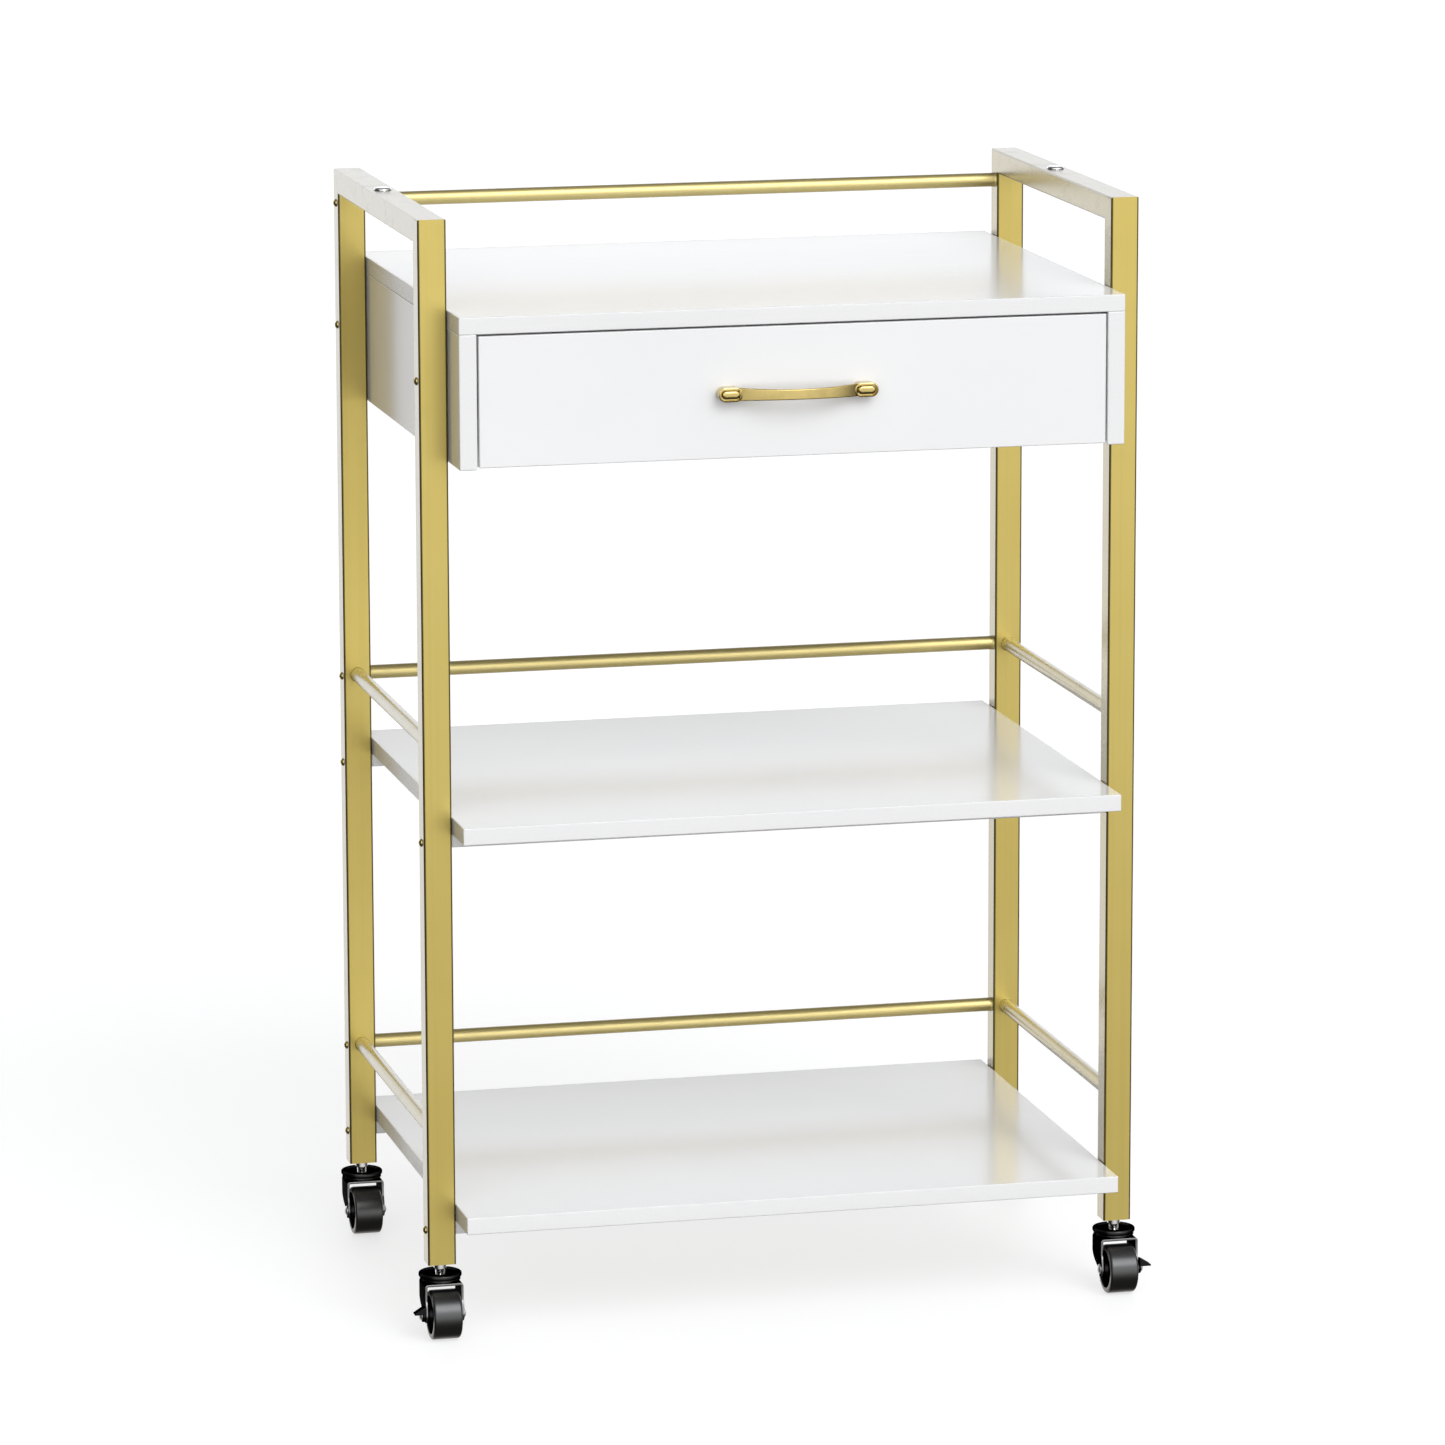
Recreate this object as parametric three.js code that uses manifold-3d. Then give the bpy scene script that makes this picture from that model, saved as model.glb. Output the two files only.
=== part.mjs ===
// Mobile printer stand: a rolling three-tier stand with two tubular side frames, three
// white boards, one drawer under the top board and four swivel casters.
// Millimetres, +Z up, the front faces -Y, the origin is on the floor under the middle.

import * as THREE from 'three';
import { mergeVertices } from 'three/addons/utils/BufferGeometryUtils.js';
import Module from 'manifold-3d';

const wasm = await Module();
wasm.setup();

// ---- driving dimensions ----

const FRAME_WIDTH = 600;
const FRAME_DEPTH = 361;
const FRAME_TOP = 922;
const POST_BOTTOM = 60.5;
const POST_WIDTH = 23.5;
const TUBE_DEPTH = 20;
const TUBE_WALL = 1.5;
const TUBE_CORNER = 2;
const END_PLATE = 3;
const END_PLATE_INSET = 1;
const WELD_GAP = 0.1;

const RAIL_DIAMETER = 12;
const RAIL_WALL = 1.2;
const TOP_RAIL_HEIGHT = 896;
const MID_RAIL_HEIGHT = 490.4;
const LOW_RAIL_HEIGHT = 166.5;

const BOARD_THICKNESS = 14;
const BOARD_DEPTH = 422;
const FRONT_OVERHANG = 43.5;
const BOARD_GAP = 0.5;
const TOP_BOARD_HEIGHT = 848.4;
const MID_SHELF_HEIGHT = 434;
const LOW_SHELF_HEIGHT = 110.2;
const BATTEN_HEIGHT = 11;
const BATTEN_DEPTH = 14;

const CABINET_HEIGHT = 109;
const CABINET_SIDE_THICKNESS = 14.5;
const CABINET_BACK_THICKNESS = 12;
const CABINET_BACK_INSET = 6;

const DRAWER_GAP = 1.5;
const DRAWER_BOX_DEPTH = 350;
const DRAWER_BOX_HEIGHT = 86;
const DRAWER_BOX_LIFT = 8;
const DRAWER_WALL = 12;
const DRAWER_BOTTOM = 4;
const DRAWER_BOTTOM_LIFT = 6;

const RUNNER_SPACE = 12.5;
const RUNNER_HEIGHT = 27;
const RUNNER_LENGTH = 340;
const RUNNER_SHEET = 1.2;
const RUNNER_DEPTH = 9.5;
const RUNNER_SETBACK = 4;
const INNER_RUNNER_HEIGHT = 18;

const HANDLE_LENGTH = 132;
const HANDLE_REACH = 22;
const HANDLE_FOOT_LENGTH = 19.5;
const HANDLE_FOOT_HEIGHT = 11.4;
const HANDLE_FOOT_REACH = 12;
const HANDLE_STRAP = 3.2;
const HANDLE_STRAP_HIDDEN = 3;
const HANDLE_STRAP_OVERLAP = 1.5;
const HANDLE_PAD_MARGIN = 2;
const HANDLE_PAD_RISE = 1;
const HANDLE_END_HEIGHT = 10.8;
const HANDLE_WAIST = 8.8;

const BOLT_HEAD_DIAMETER = 15;
const BOLT_SHANK_DIAMETER = 6;
const BOLT_FROM_FRONT = 204;
const BOLT_CAP_RISE = 2.2;
const BOLT_CAP_SLOPE = 1.2;

const WHEEL_RADIUS = 20.5;
const WHEEL_WIDTH = 24;
const WHEEL_SIDES = 28;
const WHEEL_TRAIL = 15;
const AXLE_RADIUS = 2.5;
const FORK_WIDTH = 32;
const FORK_SHEET = 2;
const FORK_TOP = 46.4;
const FORK_FRONT = -18;
const FORK_REAR = 8.5;
const FORK_PLATE = 2.4;
const FORK_SKIRT = 13;
const FORK_TOE = 6.5;
const FORK_BEND = 6;
const RACE_RADIUS = 14.5;
const DISH_RADIUS = 18;
const DISH_TOP = 52.6;
const STEM_RADIUS = 4;
const STEM_COLLAR_RADIUS = 5.5;
const STEM_COLLAR = 5;
const STEM_FLANGE = 1.5;
const STEM_TOP = 88;
const RUNNING_GAP = 0.4;
const HOLE_GAP = 0.3;
const PRESS_GAP = 0.1;
const PEDAL_GAP = 0.2;
const BRAKE_THICKNESS = 2.6;
const BRAKE_HUB_RADIUS = 5.6;
const BRAKE_REACH = 9.8;
const BRAKE_TOE_LENGTH = 8;
const BRAKE_WINDOW_RADIUS = 5;
const HUB_RISE = 1.5;
const RIVET_RADIUS = 4.4;
const RIVET_RISE = 2.4;
const RIVET_SHOULDER = 0.6;

// ---- places worked out from the dimensions ----

const BOARD_FRONT = -(BOARD_DEPTH + HANDLE_REACH) / 2 + HANDLE_REACH;
const BOARD_REAR = BOARD_FRONT + BOARD_DEPTH;
const FRAME_FRONT = BOARD_FRONT + FRONT_OVERHANG;
const FRAME_REAR = FRAME_FRONT + FRAME_DEPTH;
const FRONT_POST_Y = FRAME_FRONT + TUBE_DEPTH / 2;
const REAR_POST_Y = FRAME_REAR - TUBE_DEPTH / 2;
const POST_X = (FRAME_WIDTH - POST_WIDTH) / 2;
const POST_INNER_X = FRAME_WIDTH / 2 - POST_WIDTH;
const BOARD_HALF = POST_INNER_X - BOARD_GAP;
const CABINET_INNER = BOARD_HALF - CABINET_SIDE_THICKNESS;
const CABINET_TOP = TOP_BOARD_HEIGHT - BOARD_THICKNESS;
const CABINET_BOTTOM = CABINET_TOP - CABINET_HEIGHT;
const DRAWER_FRONT_BACK = BOARD_FRONT + BOARD_THICKNESS;
const DRAWER_HALF = CABINET_INNER - RUNNER_SPACE;
const DRAWER_FLOOR = CABINET_BOTTOM + DRAWER_BOX_LIFT;
const DRAWER_END = DRAWER_FRONT_BACK + DRAWER_BOX_DEPTH;
const HANDLE_Z = CABINET_BOTTOM + CABINET_HEIGHT / 2;

// ---- materials ----

function material(colour, roughness, metalness) {
  return new THREE.MeshStandardMaterial({ color: colour, roughness, metalness });
}

const goldTube = material(0xc9b068, 0.32, 1);
const goldCast = material(0xc4a75a, 0.2, 1);
const whiteBoard = material(0xf0f0ef, 0.35, 0);
const blackSteel = material(0x121212, 0.25, 0.3);
const blackPlastic = material(0x1a1a1a, 0.35, 0);
const chrome = material(0xd8d8d8, 0.1, 1);
const zinc = material(0xb4b6b8, 0.35, 1);

// ---- shape helpers ----

// How far a cutter runs past the faces it cuts.
const CUT_PAST = 2;

const stand = new THREE.Group();

function addPart(name, geometry, partMaterial) {
  const mesh = new THREE.Mesh(geometry, partMaterial);
  mesh.name = name;
  stand.add(mesh);
  return mesh;
}

// A closed geometry with its vertices shared, as the boolean library takes it.
function solidOf(geometry) {
  const bare = geometry.clone();
  bare.deleteAttribute('normal');
  bare.deleteAttribute('uv');
  const shared = mergeVertices(bare, 1e-4);
  const data = {
    numProp: 3,
    vertProperties: new Float32Array(shared.attributes.position.array),
    triVerts: new Uint32Array(shared.index.array),
  };
  return new wasm.Manifold(new wasm.Mesh(data));
}

function geometryOf(solid) {
  const mesh = solid.getMesh();
  const geometry = new THREE.BufferGeometry();
  geometry.setAttribute('position', new THREE.BufferAttribute(mesh.vertProperties, 3));
  geometry.setIndex(new THREE.BufferAttribute(mesh.triVerts, 1));
  geometry.computeVertexNormals();
  return geometry;
}

function block(xMin, xMax, yMin, yMax, zMin, zMax) {
  const geometry = new THREE.BoxGeometry(xMax - xMin, yMax - yMin, zMax - zMin);
  return geometry.translate((xMin + xMax) / 2, (yMin + yMax) / 2, (zMin + zMax) / 2);
}

function roundedRectangle(width, height, radius, PathType = THREE.Shape) {
  const path = new PathType();
  const x = width / 2;
  const y = height / 2;
  path.moveTo(-x + radius, -y);
  path.lineTo(x - radius, -y);
  path.absarc(x - radius, -y + radius, radius, -Math.PI / 2, 0);
  path.lineTo(x, y - radius);
  path.absarc(x - radius, y - radius, radius, 0, Math.PI / 2);
  path.lineTo(-x + radius, y);
  path.absarc(-x + radius, y - radius, radius, Math.PI / 2, Math.PI);
  path.lineTo(-x, -y + radius);
  path.absarc(-x + radius, -y + radius, radius, Math.PI, Math.PI * 1.5);
  path.closePath();
  return path;
}

function extrude(shape, depth, curveSegments = 4) {
  return new THREE.ExtrudeGeometry(shape, { depth, bevelEnabled: false, curveSegments });
}

// A tube of rectangular section, standing along Z from zero up.
function squareTube(width, depth, length) {
  const outline = roundedRectangle(width, depth, TUBE_CORNER);
  const inside = roundedRectangle(
    width - 2 * TUBE_WALL, depth - 2 * TUBE_WALL, TUBE_CORNER - TUBE_WALL, THREE.Path);
  outline.holes.push(inside);
  return extrude(outline, length, 2);
}

// A round solid or ring about Z from a closed profile of [radius, height] points.
function turned(profile, sides) {
  const points = profile.map(([radius, height]) => new THREE.Vector2(radius, height));
  return new THREE.LatheGeometry(points, sides).rotateX(Math.PI / 2);
}

// A plain round rod along Z, mostly a cutter for a hole.
function rod(radius, bottom, top, sides) {
  return turned([[0, bottom], [radius, bottom], [radius, top], [0, top]], sides);
}

// A turned solid about X, for what turns like a wheel; the heights run along X.
function turnedAboutX(profile, sides) {
  return turned(profile, sides).rotateY(Math.PI / 2);
}

function roundTube(length) {
  const outline = new THREE.Shape().absarc(0, 0, RAIL_DIAMETER / 2, 0, Math.PI * 2);
  outline.holes.push(new THREE.Path().absarc(0, 0, RAIL_DIAMETER / 2 - RAIL_WALL, 0, Math.PI * 2));
  return extrude(outline, length, 10).translate(0, 0, -length / 2);
}

// ---- side frames ----

// The ends of each frame's three tubes meet on a 45 degree plane at both top corners.
function moveVertices(geometry, change) {
  const position = geometry.attributes.position;
  const point = new THREE.Vector3();
  for (let i = 0; i < position.count; i += 1) {
    point.fromBufferAttribute(position, i);
    change(point);
    position.setXYZ(i, point.x, point.y, point.z);
  }
  return geometry;
}

function post(x, y, outward) {
  const height = FRAME_TOP - POST_BOTTOM;
  const tube = squareTube(POST_WIDTH, TUBE_DEPTH, height);
  moveVertices(tube, (point) => {
    if (point.z > height / 2) {
      point.z = height - TUBE_DEPTH / 2 - outward * point.y - WELD_GAP;
    }
  });
  const plateX = POST_WIDTH / 2 - END_PLATE_INSET;
  const plateY = TUBE_DEPTH / 2 - END_PLATE_INSET;
  const plate = block(-plateX, plateX, -plateY, plateY, 0, END_PLATE);
  const hole = rod(STEM_RADIUS + HOLE_GAP, -CUT_PAST, END_PLATE + CUT_PAST, 16);
  const solid = solidOf(tube).add(solidOf(plate)).subtract(solidOf(hole));
  return geometryOf(solid).translate(x, y, POST_BOTTOM);
}

function topBar(x) {
  const tube = squareTube(POST_WIDTH, TUBE_DEPTH, FRAME_DEPTH);
  moveVertices(tube, (point) => {
    const rise = point.y + TUBE_DEPTH / 2;
    point.z = point.z > FRAME_DEPTH / 2 ? FRAME_DEPTH - rise : rise;
  });
  tube.rotateX(-Math.PI / 2);
  return tube.translate(x, FRAME_FRONT, FRAME_TOP - TUBE_DEPTH / 2);
}

const sides = [['left', -1], ['right', 1]];

for (const [side, sign] of sides) {
  const x = sign * POST_X;
  const sideRailLength = FRAME_DEPTH - 2 * TUBE_DEPTH;
  const middle = (FRAME_FRONT + FRAME_REAR) / 2;
  addPart(`${side}_front_post`, post(x, FRONT_POST_Y, 1), goldTube);
  addPart(`${side}_rear_post`, post(x, REAR_POST_Y, -1), goldTube);
  addPart(`${side}_top_bar`, topBar(x), goldTube);
  for (const [level, height] of [['mid', MID_RAIL_HEIGHT], ['low', LOW_RAIL_HEIGHT]]) {
    const rail = roundTube(sideRailLength).rotateX(Math.PI / 2);
    addPart(`${side}_${level}_rail`, rail.translate(x, middle, height), goldTube);
  }
}

const rearRails = [['top', TOP_RAIL_HEIGHT], ['mid', MID_RAIL_HEIGHT], ['low', LOW_RAIL_HEIGHT]];

for (const [level, height] of rearRails) {
  const rail = roundTube(2 * POST_INNER_X).rotateY(Math.PI / 2);
  addPart(`rear_${level}_rail`, rail.translate(0, REAR_POST_Y, height), goldTube);
}

// ---- boards ----

function board(topHeight) {
  return block(-BOARD_HALF, BOARD_HALF, BOARD_FRONT, BOARD_REAR, topHeight - BOARD_THICKNESS, topHeight);
}

function batten(shelfHeight, y) {
  const top = shelfHeight - BOARD_THICKNESS;
  const half = BATTEN_DEPTH / 2;
  return block(-POST_INNER_X, POST_INNER_X, y - half, y + half, top - BATTEN_HEIGHT, top);
}

addPart('top_board', board(TOP_BOARD_HEIGHT), whiteBoard);
for (const [level, height] of [['mid', MID_SHELF_HEIGHT], ['low', LOW_SHELF_HEIGHT]]) {
  addPart(`${level}_shelf`, board(height), whiteBoard);
  addPart(`${level}_shelf_front_batten`, batten(height, FRONT_POST_Y), whiteBoard);
  addPart(`${level}_shelf_rear_batten`, batten(height, REAR_POST_Y), whiteBoard);
}

// ---- cabinet under the top board ----

for (const [side, sign] of sides) {
  const outer = sign * BOARD_HALF;
  const inner = sign * CABINET_INNER;
  const panel = block(
    Math.min(outer, inner), Math.max(outer, inner), BOARD_FRONT, BOARD_REAR, CABINET_BOTTOM, CABINET_TOP);
  addPart(`cabinet_${side}_panel`, panel, whiteBoard);
}

const cabinetBackRear = BOARD_REAR - CABINET_BACK_INSET;
const cabinetBack = block(
  -CABINET_INNER, CABINET_INNER, cabinetBackRear - CABINET_BACK_THICKNESS, cabinetBackRear,
  CABINET_BOTTOM, CABINET_TOP);
addPart('cabinet_back_panel', cabinetBack, whiteBoard);

// ---- drawer ----

const drawerFrontHalf = CABINET_INNER - DRAWER_GAP;
const drawerFront = block(
  -drawerFrontHalf, drawerFrontHalf, BOARD_FRONT, DRAWER_FRONT_BACK,
  CABINET_BOTTOM + DRAWER_GAP, CABINET_TOP - DRAWER_GAP);
addPart('drawer_front', drawerFront, whiteBoard);

const drawerInner = DRAWER_HALF - DRAWER_WALL;
const drawerWallTop = DRAWER_FLOOR + DRAWER_BOX_HEIGHT;

for (const [side, sign] of sides) {
  const edges = [sign * DRAWER_HALF, sign * drawerInner];
  const wall = block(
    Math.min(...edges), Math.max(...edges), DRAWER_FRONT_BACK, DRAWER_END, DRAWER_FLOOR, drawerWallTop);
  addPart(`drawer_${side}_wall`, wall, whiteBoard);
}

const drawerBack = block(
  -drawerInner, drawerInner, DRAWER_END - DRAWER_WALL, DRAWER_END, DRAWER_FLOOR, drawerWallTop);
addPart('drawer_back', drawerBack, whiteBoard);

const drawerBottomTop = DRAWER_FLOOR + DRAWER_BOTTOM_LIFT + DRAWER_BOTTOM;
const drawerBottom = block(
  -drawerInner, drawerInner, DRAWER_FRONT_BACK, DRAWER_END - DRAWER_WALL,
  drawerBottomTop - DRAWER_BOTTOM, drawerBottomTop);
addPart('drawer_bottom', drawerBottom, whiteBoard);

// Each runner is a channel on the cabinet panel round a smaller one on the drawer wall.
function channel(height, depth) {
  const shape = new THREE.Shape();
  const half = height / 2;
  shape.moveTo(0, -half);
  shape.lineTo(depth, -half);
  shape.lineTo(depth, -half + RUNNER_SHEET);
  shape.lineTo(RUNNER_SHEET, -half + RUNNER_SHEET);
  shape.lineTo(RUNNER_SHEET, half - RUNNER_SHEET);
  shape.lineTo(depth, half - RUNNER_SHEET);
  shape.lineTo(depth, half);
  shape.lineTo(0, half);
  shape.closePath();
  return extrude(shape, RUNNER_LENGTH).rotateX(Math.PI / 2).translate(0, RUNNER_LENGTH, 0);
}

const runnerHeight = DRAWER_FLOOR + DRAWER_BOX_HEIGHT / 2;
const runnerStart = DRAWER_FRONT_BACK + RUNNER_SETBACK;

for (const [side, sign] of sides) {
  const outerChannel = channel(RUNNER_HEIGHT, RUNNER_DEPTH);
  const innerChannel = channel(INNER_RUNNER_HEIGHT, RUNNER_DEPTH);
  if (sign > 0) {
    outerChannel.rotateZ(Math.PI).translate(0, RUNNER_LENGTH, 0);
  } else {
    innerChannel.rotateZ(Math.PI).translate(0, RUNNER_LENGTH, 0);
  }
  outerChannel.translate(sign * CABINET_INNER, runnerStart, runnerHeight);
  innerChannel.translate(sign * DRAWER_HALF, runnerStart, runnerHeight);
  addPart(`runner_${side}_cabinet`, outerChannel, zinc);
  addPart(`runner_${side}_drawer`, innerChannel, zinc);
}

// The bow handle: two stadium feet joined by a strap that bows forward and narrows.
function stadium(length, height) {
  return roundedRectangle(length, height, height / 2 - 0.01);
}

function handle() {
  const footX = (HANDLE_LENGTH - HANDLE_FOOT_LENGTH) / 2;
  const span = footX - HANDLE_FOOT_LENGTH / 2 + HANDLE_STRAP_HIDDEN;
  const rise = HANDLE_REACH - HANDLE_FOOT_REACH + HANDLE_STRAP_OVERLAP;
  const radius = (span * span + rise * rise) / (2 * rise);
  const sweep = Math.asin(span / radius);
  const centre = HANDLE_REACH - radius;
  const plan = new THREE.Shape();
  plan.absarc(0, centre, radius, Math.PI / 2 - sweep, Math.PI / 2 + sweep);
  plan.absarc(0, centre, radius - HANDLE_STRAP, Math.PI / 2 + sweep, Math.PI / 2 - sweep, true);
  plan.closePath();
  const strap = extrude(plan, 2 * HANDLE_END_HEIGHT, 10).translate(0, 0, -HANDLE_END_HEIGHT);

  const end = HANDLE_END_HEIGHT / 2;
  const waist = HANDLE_WAIST / 2;
  const front = new THREE.Shape();
  front.moveTo(-span, -end);
  front.quadraticCurveTo(0, 2 * -waist + end, span, -end);
  front.lineTo(span, end);
  front.quadraticCurveTo(0, 2 * waist - end, -span, end);
  front.closePath();
  const outline = extrude(front, 2 * HANDLE_REACH, 6).rotateX(-Math.PI / 2);
  outline.translate(0, -1, 0);

  let solid = solidOf(strap).intersect(solidOf(outline));
  for (const x of [-footX, footX]) {
    const rim = stadium(HANDLE_FOOT_LENGTH, HANDLE_FOOT_HEIGHT);
    const padLength = HANDLE_FOOT_LENGTH - 2 * HANDLE_PAD_MARGIN;
    const padHeight = HANDLE_FOOT_HEIGHT - 2 * HANDLE_PAD_MARGIN;
    const foot = extrude(rim, HANDLE_FOOT_REACH - HANDLE_PAD_RISE, 5);
    const pad = extrude(stadium(padLength, padHeight), HANDLE_FOOT_REACH, 5);
    for (const piece of [foot, pad]) {
      piece.rotateX(-Math.PI / 2).translate(x, 0, 0);
      solid = solid.add(solidOf(piece));
    }
  }
  return geometryOf(solid).rotateZ(Math.PI).translate(0, BOARD_FRONT, HANDLE_Z);
}

addPart('drawer_handle', handle(), goldCast);

// ---- bolts through the two top bars ----

// The bolt has the same low cap above and below the bar.
const boltShank = BOLT_SHANK_DIAMETER / 2;
const boltCap = BOLT_HEAD_DIAMETER / 2;
const capSide = [
  [boltShank, 0],
  [boltCap, 0],
  [boltCap, 0.8],
  [boltCap - BOLT_CAP_SLOPE, BOLT_CAP_RISE - 0.3],
  [0, BOLT_CAP_RISE],
];
const boltProfile = [
  ...capSide.map(([radius, rise]) => [radius, -TUBE_DEPTH - rise]).reverse(), ...capSide,
];

for (const [side, sign] of sides) {
  const x = sign * POST_X;
  const y = FRAME_FRONT + BOLT_FROM_FRONT;
  const bolt = turned(boltProfile, 20).translate(x, y, FRAME_TOP);
  addPart(`${side}_bar_bolt`, bolt, chrome);
  const bar = stand.getObjectByName(`${side}_top_bar`);
  const drill = rod(boltShank + HOLE_GAP, -TUBE_DEPTH - CUT_PAST, CUT_PAST, 20);
  const drilled = solidOf(bar.geometry).subtract(solidOf(drill.translate(x, y, FRAME_TOP)));
  bar.geometry = geometryOf(drilled);
}

// ---- casters ----

// Local to the swivel axis, on the floor; the wheel trails towards the front.
function forkGeometry() {
  const toeFront = -WHEEL_TRAIL - FORK_TOE;
  const toeRear = -WHEEL_TRAIL + FORK_TOE;
  const side = new THREE.Shape();
  side.moveTo(FORK_REAR, FORK_TOP);
  side.lineTo(FORK_REAR, FORK_TOP - FORK_SKIRT);
  side.quadraticCurveTo(FORK_REAR - 2, WHEEL_RADIUS + FORK_BEND, toeRear, WHEEL_RADIUS);
  side.absarc(-WHEEL_TRAIL, WHEEL_RADIUS, FORK_TOE, 0, -Math.PI, true);
  side.lineTo(toeFront, WHEEL_RADIUS + 2);
  side.quadraticCurveTo(FORK_FRONT - 1, WHEEL_RADIUS + 2 * FORK_BEND, FORK_FRONT, FORK_TOP - 3);
  side.lineTo(FORK_FRONT, FORK_TOP);
  side.closePath();
  const half = FORK_WIDTH / 2;
  const body = extrude(side, FORK_WIDTH, 6).rotateX(Math.PI / 2).rotateZ(Math.PI / 2);
  body.translate(-half, 0, 0);
  const inside = half - FORK_SHEET;
  const inner = block(-inside, inside, -FORK_TOP, FORK_TOP, 0, FORK_TOP - FORK_PLATE);
  const pinHole = rod(STEM_RADIUS + RUNNING_GAP, 0, FORK_TOP + CUT_PAST, 16);
  const axleHole = rod(AXLE_RADIUS + PRESS_GAP, -half - CUT_PAST, half + CUT_PAST, 16);
  axleHole.rotateY(Math.PI / 2).translate(0, -WHEEL_TRAIL, WHEEL_RADIUS);
  const hollow = solidOf(body).subtract(solidOf(inner));
  return geometryOf(hollow.subtract(solidOf(pinHole)).subtract(solidOf(axleHole)));
}

function dishGeometry() {
  const bore = STEM_RADIUS + RUNNING_GAP;
  const groove = RACE_RADIUS - 0.8;
  return turned([
    [bore, FORK_TOP],
    [RACE_RADIUS, FORK_TOP],
    [RACE_RADIUS, FORK_TOP + 1.1],
    [groove, FORK_TOP + 1.6],
    [RACE_RADIUS, FORK_TOP + 2.1],
    [DISH_RADIUS - 0.6, FORK_TOP + 3],
    [DISH_RADIUS, FORK_TOP + 3.6],
    [DISH_RADIUS, DISH_TOP - 0.8],
    [DISH_RADIUS - 0.8, DISH_TOP],
    [DISH_RADIUS - 2, DISH_TOP],
    [DISH_RADIUS - 3.4, DISH_TOP - 1.2],
    [bore, DISH_TOP - 1.6],
    [bore, FORK_TOP],
  ], 22);
}

function stemGeometry() {
  const collar = STEM_COLLAR_RADIUS;
  const flangeTop = FORK_TOP - FORK_PLATE - HOLE_GAP;
  return turned([
    [0, flangeTop - STEM_FLANGE],
    [collar, flangeTop - STEM_FLANGE],
    [collar, flangeTop],
    [STEM_RADIUS, flangeTop],
    [STEM_RADIUS, POST_BOTTOM - STEM_COLLAR],
    [collar, POST_BOTTOM - STEM_COLLAR],
    [collar, POST_BOTTOM],
    [STEM_RADIUS, POST_BOTTOM],
    [STEM_RADIUS, STEM_TOP - 1],
    [STEM_RADIUS - 1, STEM_TOP],
    [0, STEM_TOP],
  ], 14);
}

function wheelGeometry() {
  const half = WHEEL_WIDTH / 2;
  const rim = WHEEL_RADIUS / Math.cos(Math.PI / WHEEL_SIDES);
  const bore = AXLE_RADIUS + HOLE_GAP;
  const web = half - 1.4;
  const side = [
    [bore, half + HUB_RISE],
    [6, half + HUB_RISE],
    [6.6, web],
    [rim - 5.5, web],
    [rim - 4.8, half],
    [rim - 2.2, half],
    [rim - 0.6, half - 0.8],
    [rim, half - 2.4],
  ];
  const mirrored = side.map(([radius, x]) => [radius, -x]);
  const wheel = turnedAboutX([...mirrored, ...side.reverse(), mirrored[0]], WHEEL_SIDES);
  wheel.rotateX(Math.PI / WHEEL_SIDES);
  return wheel.translate(0, -WHEEL_TRAIL, WHEEL_RADIUS);
}

function axleGeometry(leftSpace, rightSpace) {
  const half = FORK_WIDTH / 2;
  const left = half + leftSpace;
  const right = half + rightSpace;
  const head = [
    [AXLE_RADIUS, 0],
    [RIVET_RADIUS, 0],
    [RIVET_RADIUS, RIVET_SHOULDER],
    [RIVET_RADIUS - 1.6, RIVET_RISE - 0.4],
    [0, RIVET_RISE],
  ];
  const leftHead = head.map(([radius, rise]) => [radius, -left - rise]).reverse();
  const rightHead = head.map(([radius, rise]) => [radius, right + rise]);
  const axle = turnedAboutX([...leftHead, ...rightHead], 14);
  return axle.translate(0, -WHEEL_TRAIL, WHEEL_RADIUS);
}

// The pedal is a ring on the axle with a wedge for the toe that points outward.
function brakeGeometry(sign) {
  const inner = FORK_WIDTH / 2 + RUNNING_GAP / 2;
  const outer = FORK_WIDTH / 2 + BRAKE_THICKNESS;
  const bore = AXLE_RADIUS + HOLE_GAP;
  const ring = turnedAboutX([
    [bore, inner],
    [BRAKE_HUB_RADIUS, inner],
    [BRAKE_HUB_RADIUS, outer - 0.6],
    [BRAKE_HUB_RADIUS - 0.6, outer],
    [bore, outer],
    [bore, inner],
  ], 20);
  const tip = inner + BRAKE_REACH;
  const toe = new THREE.Shape();
  toe.moveTo(inner, 3);
  toe.lineTo(tip - 0.6, 2.4);
  toe.lineTo(tip, 2.9);
  toe.lineTo(tip - 0.8, 3.6);
  toe.lineTo(outer, 8.2);
  toe.lineTo(inner, 8.6);
  toe.closePath();
  const wedge = extrude(toe, BRAKE_TOE_LENGTH).rotateX(Math.PI / 2).translate(0, -1, 0);
  const window = rod(BRAKE_WINDOW_RADIUS, 0, tip + CUT_PAST, 16).rotateY(Math.PI / 2);
  const pedal = solidOf(ring).add(solidOf(wedge).subtract(solidOf(window)));
  const geometry = geometryOf(pedal);
  if (sign < 0) {
    geometry.scale(-1, 1, 1);
    const index = geometry.index.array;
    for (let i = 0; i < index.length; i += 3) {
      [index[i], index[i + 1]] = [index[i + 1], index[i]];
    }
  }
  return geometry.translate(0, -WHEEL_TRAIL, WHEEL_RADIUS);
}

const corners = [
  ['front_left', -1, FRONT_POST_Y, true],
  ['front_right', 1, FRONT_POST_Y, true],
  ['rear_left', -1, REAR_POST_Y, false],
  ['rear_right', 1, REAR_POST_Y, false],
];

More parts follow.
